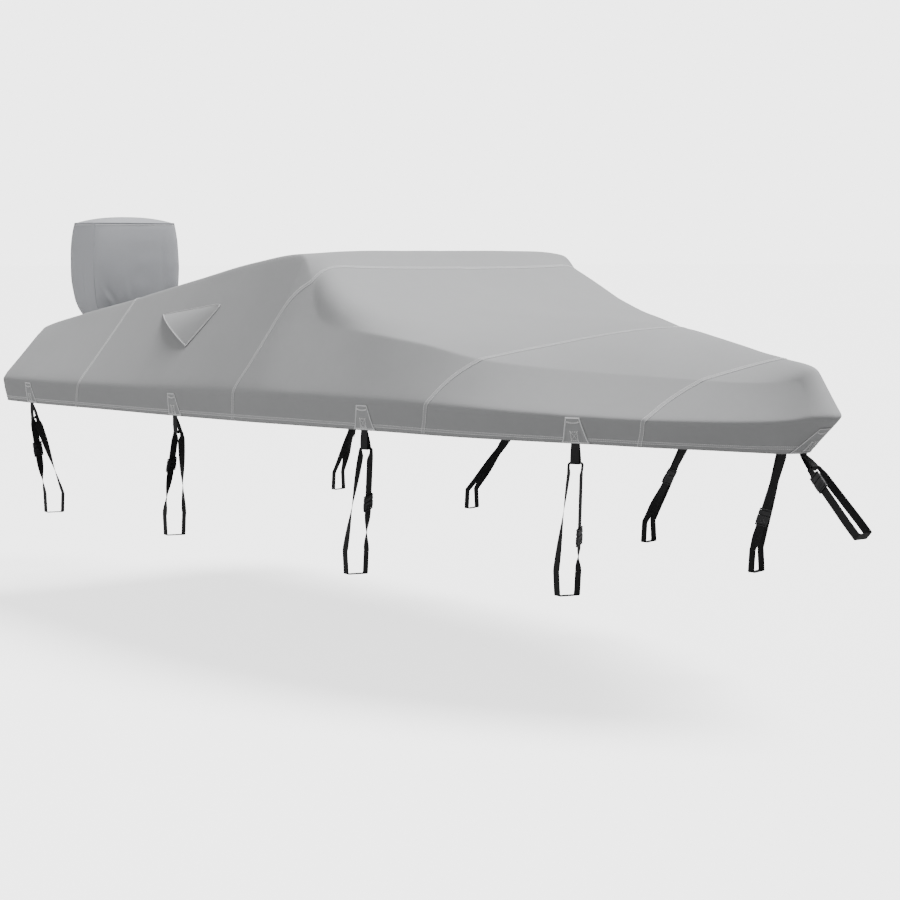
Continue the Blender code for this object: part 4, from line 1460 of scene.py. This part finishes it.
def place_camera(scene):
    """The camera at the photograph's angle."""
    data = bpy.data.cameras.new("camera")
    data.lens, data.sensor_width, data.clip_end = CAMERA_LENS, CAMERA_SENSOR, CAMERA_FAR
    a, e = CAMERA_TURN, CAMERA_DIP
    back = Vector((sin(a) * cos(e), -cos(a) * cos(e), sin(e)))
    scene.camera = put_in(scene, data, CAMERA_AT, back, "Z")


def lay_floor():
    """A pale floor: camera rays see it bright, other rays see it dull."""
    mat, n = new_material("pale_floor")
    dust = n.noise(n.position(), 0.8)
    tint = n.scaled((0.90, 0.90, 0.90), n.math("MULTIPLY_ADD", dust, 0.02, 0.99))
    bright = n.surface(tint, 0.9, Emission_Color=WHITE, Emission_Strength=2.0)
    dull = n.add("ShaderNodeBsdfDiffuse", Color=(0.27, 0.27, 0.27, 1.0))
    n.by_ray(dull, bright, "Material Output")
    signs = ((-1, -1), (1, -1), (1, 1), (-1, 1))
    corners = [(x * FLOOR_HALF, y * FLOOR_HALF, FLOOR_Z) for x, y in signs]
    floor = mesh_piece("floor", corners, [(0, 1, 2, 3)], None, mat, False)


def light(scene, name, kind, values):
    """A light with its energy, place and aim."""
    energy, at, aim = values
    lamp = bpy.data.lights.new(name, kind)
    lamp.energy = energy
    put_in(scene, lamp, at, Vector(aim) - Vector(at), "-Z")
    return lamp


def light_world(scene):
    """A white surrounding: camera rays see it bright, other rays see it soft."""
    world = bpy.data.worlds.new("studio")
    world.use_nodes = True
    n = Nodes(world.node_tree)
    soft = n.fill(world.node_tree.nodes["Background"], Color=WHITE, Strength=0.34)
    bright = n.add("ShaderNodeBackground", Color=WHITE, Strength=4.0)
    n.by_ray(soft, bright, "World Output")
    scene.world = world


# ------------------------------------------------------------------ operators


def ready():
    """The shared skin and finishes, or an error if the first step is missing."""
    if "skin" not in MADE:
        raise RuntimeError("run the cover step first")
    return MADE["skin"], MADE["finishes"]


class BOATCOVER_OT_stage(bpy.types.Operator):
    """Camera at the photograph's angle, soft lights and a pale floor"""

    bl_idname = "boat_cover.stage"
    bl_label = "Stage"

    def execute(self, context):
        scene = context.scene
        place_camera(scene)
        lay_floor()
        light(scene, "key", "SUN", KEY).angle = radians(34)
        light(scene, "fill", "AREA", FILL).size = 8.0
        kick = light(scene, "kick", "SPOT", KICK)
        kick.spot_size, kick.spot_blend, kick.shadow_soft_size = radians(9.0), 1.0, 0.6
        light_world(scene)
        return {"FINISHED"}


class BOATCOVER_OT_cover(bpy.types.Operator):
    """The cover's cloth, its cross seams and its hem band"""

    bl_idname = "boat_cover.cover"
    bl_label = "Cover cloth"

    def execute(self, context):
        settings = context.scene.boat_cover
        finishes = MADE["finishes"] = Finishes(settings)
        skin = MADE["skin"] = CoverSkin(settings.ripple)
        cover = mesh_piece("cover_cloth", skin.points, skin.faces, skin.coords, finishes.cover)
        turn_outward(cover, UP)
        wall(cover, CLOTH, -1.0)
        bands = []
        for number, seam in enumerate(SEAMS, start=1):
            line = settle(skin, smooth_line(seam_line(skin, seam)))
            # The seam bands use the seam cloth and carry its painted highlight.
            bands.append(band(f"seam_{number}", line, settings.seam_width, SEAM_LIFT, finishes.seam))
            for shift in (-SEAM_ROWS, SEAM_ROWS):
                stitch(lifted(line, SEAM_STITCH_LIFT, shift))
        for above in (settings.hem_line, settings.hem_line + HEM_ROWS):
            stitch(lifted(skin.around(above), 0.0008, closed=True), closed=True)
        seams = join_pieces("cross_seams", bands)
        hem_line = skin.around(settings.hem_line + 0.5 * HEM_ROWS)
        # The hem fold uses the seam cloth, so it carries the same painted highlight.
        fold = band("hem_fold", hem_line, HEM_FOLD, 0.0002, finishes.seam, closed=True, thickness=0.0003)
        inside = [(p, -n) for p, n in hem_line]
        turned = band("hem_turned", inside, HEM_TURNED, CLOTH + 0.0008, finishes.cover, closed=True)
        hem = join_pieces("hem_band", [fold, turned])
        for piece in (cover, seams, hem):
            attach(piece, "root")
        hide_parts("cover")
        MADE["cover"] = [seams, hem]
        MADE["cover_cloth"] = cover
        return {"FINISHED"}


class BOATCOVER_OT_vents(bpy.types.Operator):
    """The two three-cornered vent hoods"""

    bl_idname = "boat_cover.vents"
    bl_label = "Vent hoods"

    def execute(self, context):
        skin, finishes = ready()
        steps, ticks = range(VENT_STEPS + 1), range(VENT_EDGE_STEPS + 1)
        flap = [[self.at(skin, 0.97 * i / VENT_STEPS, j / VENT_STEPS)[0] for j in steps] for i in steps]
        ways = [0.02 + 0.93 * k / VENT_EDGE_STEPS for k in ticks]
        upper, lower = ([self.at(skin, way, s) for way in ways] for s in (0.012, 0.988))
        mouth = [self.at(skin, 0.022, 0.02 + 0.96 * k / VENT_EDGE_STEPS) for k in ticks]
        rows = (-VENT_ROWS, VENT_ROWS)
        # The lower and open edges are bound with the seam cloth and its painted highlight; the top edge
        # uses the plain cover cloth.
        bound = (
            (upper, 0.012, finishes.cover, rows),
            (lower, 0.014, finishes.seam, rows),
            (mouth, 0.010, finishes.seam, (0.0,)),
        )
        for side, word in ((1, "starboard"), (-1, "port")):
            grid = [[across(p, side) for p in row] for row in flap]
            vent = patch_sheet(f"vent_hood_{word}", grid, finishes.cover, (0.0, -side, 0.3))
            trims = []
            for number, (edge, width, mat, shifts) in enumerate(bound):
                line = [(across(p, side), across(n, side)) for p, n in edge]
                trims.append(band(f"vent_binding_{word}_{number}", line, width, PATCH + 0.0008, mat))
                for shift in shifts:
                    stitch(lifted(line, PATCH + 0.0016, shift))
            trim = join_pieces(f"vent_binding_{word}", trims)
            for piece in (vent, trim):
                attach(piece, "root")
            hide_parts(f"vent_{word}")
        return {"FINISHED"}

    def at(self, skin, toward, s):
        """Point and normal of the starboard flap from its open edge."""
        edge = [a + (b - a) * s for a, b in zip(VENT_AFT, VENT_LOW)]
        along, h = [e + (c - e) * toward for e, c in zip(edge, VENT_FORE)]
        lift = GAP + VENT_RISE * 4.0 * s * (1.0 - s) * (1.0 - toward) ** 1.3
        start = Vector((along, -2.0, heights(h)))
        hit, normal = skin.under(start, Vector((0.0, 1.0, 0.0)))
        return hit + normal * (lift + 0.0004), normal


class BOATCOVER_OT_hood(bpy.types.Operator):
    """The motor hood with its bound edges and gathered hem"""

    bl_idname = "boat_cover.hood"
    bl_label = "Motor hood"

    def ring(self, h, half_x, half_y, gather, share=1.0):
        """Points of one ring of the hood."""
        out = []
        for k in range(HOOD_ROUND):
            turn = 2.0 * pi * (k + 0.5) / HOOD_ROUND
            c, s = cos(turn), sin(turn)
            r = (abs(c) ** HOOD_SQUARE + abs(s) ** HOOD_SQUARE) ** (-1.0 / HOOD_SQUARE)
            x, y = half_x * c * r, half_y * s * r
            spot = Vector((x * 3.0, y * 3.0, h * 3.0))
            bulge = 0.005 * noise.noise(spot + Vector((2.0, 9.0, 4.0)))
            bulge += 0.0018 * noise.noise(spot * 3.5)
            bulge += gather * (0.5 + 0.5 * sin(turn * GATHERS + 1.3 * sin(turn * 5.0))) - gather
            bulge += self.folds(turn, h)
            size = 1.0 + share * bulge / hypot(x, y)
            out.append(Vector((HOOD_AT + x * size, y * size, heights(h))))
        return out

    def folds(self, turn, h):
        """Height of the listed soft folds at a turn and a height."""
        total = 0.0
        for at, height, lean, reach, depth in HOOD_FOLDS:
            off = (turn + pi) % (2.0 * pi) - pi - at - lean * (h - height)
            if abs(off) < 0.4 and abs(h - height) < 2.0 * reach:
                u = off / FOLD_WIDTH
                total += depth * bell((h - height) / reach) * (bell(u) - 0.6 * bell(u - 1.5))
        return total

    def rings(self):
        """All rings of points, from the hem up the sides and over the crown."""
        low, top = HOOD_RINGS[0][0], HOOD_RINGS[-1][0]
        out = []
        for k in range(HOOD_UP + 1):
            h = low + (top - low) * k / HOOD_UP
            gather = GATHER_DEPTH * (1.0 - ease((h - low) / GATHER_HEIGHT))
            out.append(self.ring(h, *table_at(HOOD_RINGS, h), gather))
        depth, width = HOOD_RINGS[-1][1:]
        for k in range(1, HOOD_OVER):
            share = cos(0.5 * pi * k / HOOD_OVER)
            rise = HOOD_CROWN * (1.0 - share**2.4)
            out.append(self.ring(top + rise, depth * share, width * share, 0.0, share))
        return out

    def cloth(self, rings, mat):
        """The hood's cloth, closed over the crown."""
        points = [p for ring in rings for p in ring]
        coords = []
        for i, ring in enumerate(rings):
            run = 0.0
            for j, p in enumerate(ring):
                run += (p - ring[j - 1]).length if j else 0.0
                coords.append((run, 0.013 * i))
        faces = grid_faces(len(rings), HOOD_ROUND, closed_cols=True, flip=True)
        tip = len(points)
        points.append(Vector((HOOD_AT, 0.0, heights(HOOD_RINGS[-1][0] + HOOD_CROWN))))
        coords.append((0.0, 0.013 * len(rings)))
        base = (len(rings) - 1) * HOOD_ROUND
        faces += [(base + j, base + (j + 1) % HOOD_ROUND, tip) for j in range(HOOD_ROUND)]
        hood = mesh_piece("motor_hood_cloth", points, faces, coords, mat)
        agree(hood.data)
        turn_outward(hood, UP)
        wall(hood, CLOTH, -1.0)
        return hood

    def away(self, p):
        """Level direction from the hood's axis to a point."""
        return Vector((p.x - HOOD_AT, p.y, 0.0)).normalized()

    def bindings(self, rings, mat):
        """Piped top edge and corners and the hem's band, as one piece."""
        top = [(p, (self.away(p) + UP * 0.8).normalized()) for p in rings[HOOD_UP]]
        trims = [self.piping("hood_top_piping", top, True, mat)]
        for turn in (-HOOD_CORNER, HOOD_CORNER, pi - HOOD_CORNER, pi + HOOD_CORNER):
            j = round(turn / (2.0 * pi) * HOOD_ROUND - 0.5) % HOOD_ROUND
            corner = [(ring[j], self.away(ring[j])) for ring in rings[2 : HOOD_UP + 1]]
            trims.append(self.piping("hood_side_piping", corner, False, mat))
        hem, under_top = ([(p, self.away(p)) for p in rings[k]] for k in (3, HOOD_UP - 1))
        trims.append(band("hood_hem_band", hem, 0.022, 0.0010, mat, closed=True))
        trim = join_pieces("motor_hood_bindings", trims)
        stitch(lifted(hem, 0.0018, 0.006, True), closed=True)
        stitch(lifted(under_top, 0.0012, 0.0, True), closed=True)
        return trim

    def piping(self, name, line, closed, mat):
        """A bound edge: a half-round bead along a line of (point, normal)."""
        rows = []
        for u in range(PIPING_ROUND):
            turn = pi * u / (PIPING_ROUND - 1)
            rows.append(lifted(line, -0.001 + PIPING * sin(turn), PIPING * cos(turn), closed))
        points = [row[k] for k in range(len(line)) for row in rows]
        coords = [(0.0016 * u, 0.012 * k) for k in range(len(line)) for u in range(PIPING_ROUND)]
        faces = grid_faces(len(line), PIPING_ROUND, closed_rows=closed)
        obj = mesh_piece(name, points, faces, coords, mat)
        look_same_way(obj.data, PIPING_ROUND - 2, line[0][1])
        return obj

    def execute(self, context):
        _, finishes = ready()
        rings = self.rings()
        hood = self.cloth(rings, finishes.hood)
        trim = self.bindings(rings, finishes.hood)
        for piece in (hood, trim):
            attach(piece, "root")
        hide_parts("motor_hood")
        return {"FINISHED"}


class BOATCOVER_OT_tabs(bpy.types.Operator):
    """Tab patches, webbing loops, straps and buckles at every place"""

    bl_idname = "boat_cover.tabs"
    bl_label = "Tabs, loops and straps"

    def execute(self, context):
        skin, finishes = ready()
        places = []
        for number, row in enumerate(SITES, start=1):
            site = side_site(skin, row)
            for side, word in ((1, "starboard"), (-1, "port")):
                places.append((f"{word}_{number}", site, side, side_strap(site, row)))
        site = bow_site(skin)
        places.append(("bow", site, 1, bow_strap(site)))
        for place, site, side, (path, frame, inside) in places:
            patch, binding, runs = tab_pieces(place, site, side, finishes)
            loop_line = [(across(p, side), across(site.t, side), LOOP_WIDTH) for p in loop_path(site)]
            loop = webbing(f"webbing_loop_{place}", loop_line, finishes.webbing)
            mirrored = [(across(p, side), across(w, side), size) for p, w, size in path]
            curl = across(inside, side)
            strap = webbing(f"webbing_strap_{place}", mirrored, finishes.webbing, True, curl)
            buckle = buckle_piece(f"side_release_buckle_{place}", frame, side, finishes.plastic)
            for piece, slot, node in (
                (patch, "patch_cloth", "tab"),
                (binding, "patch_cloth", None),
                (loop, "black_webbing", "loop"),
                (strap, "black_webbing", "strap"),
                (buckle, "black_plastic", "buckle"),
            ):
                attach(piece, "root")
                if node:
                    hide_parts(f"{node}_{place}")
            round(length_of(loop_line, False), 3)
            round(length_of(mirrored, True), 3)
        return {"FINISHED"}


class BOATCOVER_OT_sewing(bpy.types.Operator):
    """All the stitches, as one mesh of thread"""

    bl_idname = "boat_cover.sewing"
    bl_label = "Sewing"

    def execute(self, context):
        _, finishes = ready()
        s = context.scene.boat_cover_stitches
        values = {"Pitch": s.pitch, "Stitch length": s.length, "Thread radius": s.radius}
        threads = sew("sewing", MADE["stitches"], {**values, "Thread": finishes.thread})
        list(MADE["cover"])
        return {"FINISHED"}


STEPS = (
    BOATCOVER_OT_stage,
    BOATCOVER_OT_cover,
    BOATCOVER_OT_vents,
    BOATCOVER_OT_hood,
    BOATCOVER_OT_tabs,
    BOATCOVER_OT_sewing,
)


class BOATCOVER_PT_panel(bpy.types.Panel):
    """Lists the steps and the settings"""

    bl_idname = "BOATCOVER_PT_panel"
    bl_label = "Boat Cover"
    bl_space_type = "VIEW_3D"
    bl_region_type = "UI"
    bl_category = "Boat Cover"

    def draw(self, context):
        column = self.layout.column()
        for group in (context.scene.boat_cover, context.scene.boat_cover_stitches):
            for name in group.__annotations__:
                column.prop(group, name)
        for step in STEPS:
            column.operator(step.bl_idname)


CLASSES = (CoverSettings, StitchSettings, *STEPS, BOATCOVER_PT_panel)


def register():
    for cls in CLASSES:
        bpy.utils.register_class(cls)
    bpy.types.Scene.boat_cover = PointerProperty(type=CoverSettings)
    bpy.types.Scene.boat_cover_stitches = PointerProperty(type=StitchSettings)


def unregister():
    del bpy.types.Scene.boat_cover_stitches
    del bpy.types.Scene.boat_cover
    for cls in reversed(CLASSES):
        bpy.utils.unregister_class(cls)


def main():
    """Registers the add-on and runs its steps in order."""
    register()
    bpy.ops.boat_cover.stage()
    bpy.ops.boat_cover.cover()
    bpy.ops.boat_cover.vents()
    bpy.ops.boat_cover.hood()
    bpy.ops.boat_cover.tabs()
    bpy.ops.boat_cover.sewing()


if __name__ == "__main__":
    main()
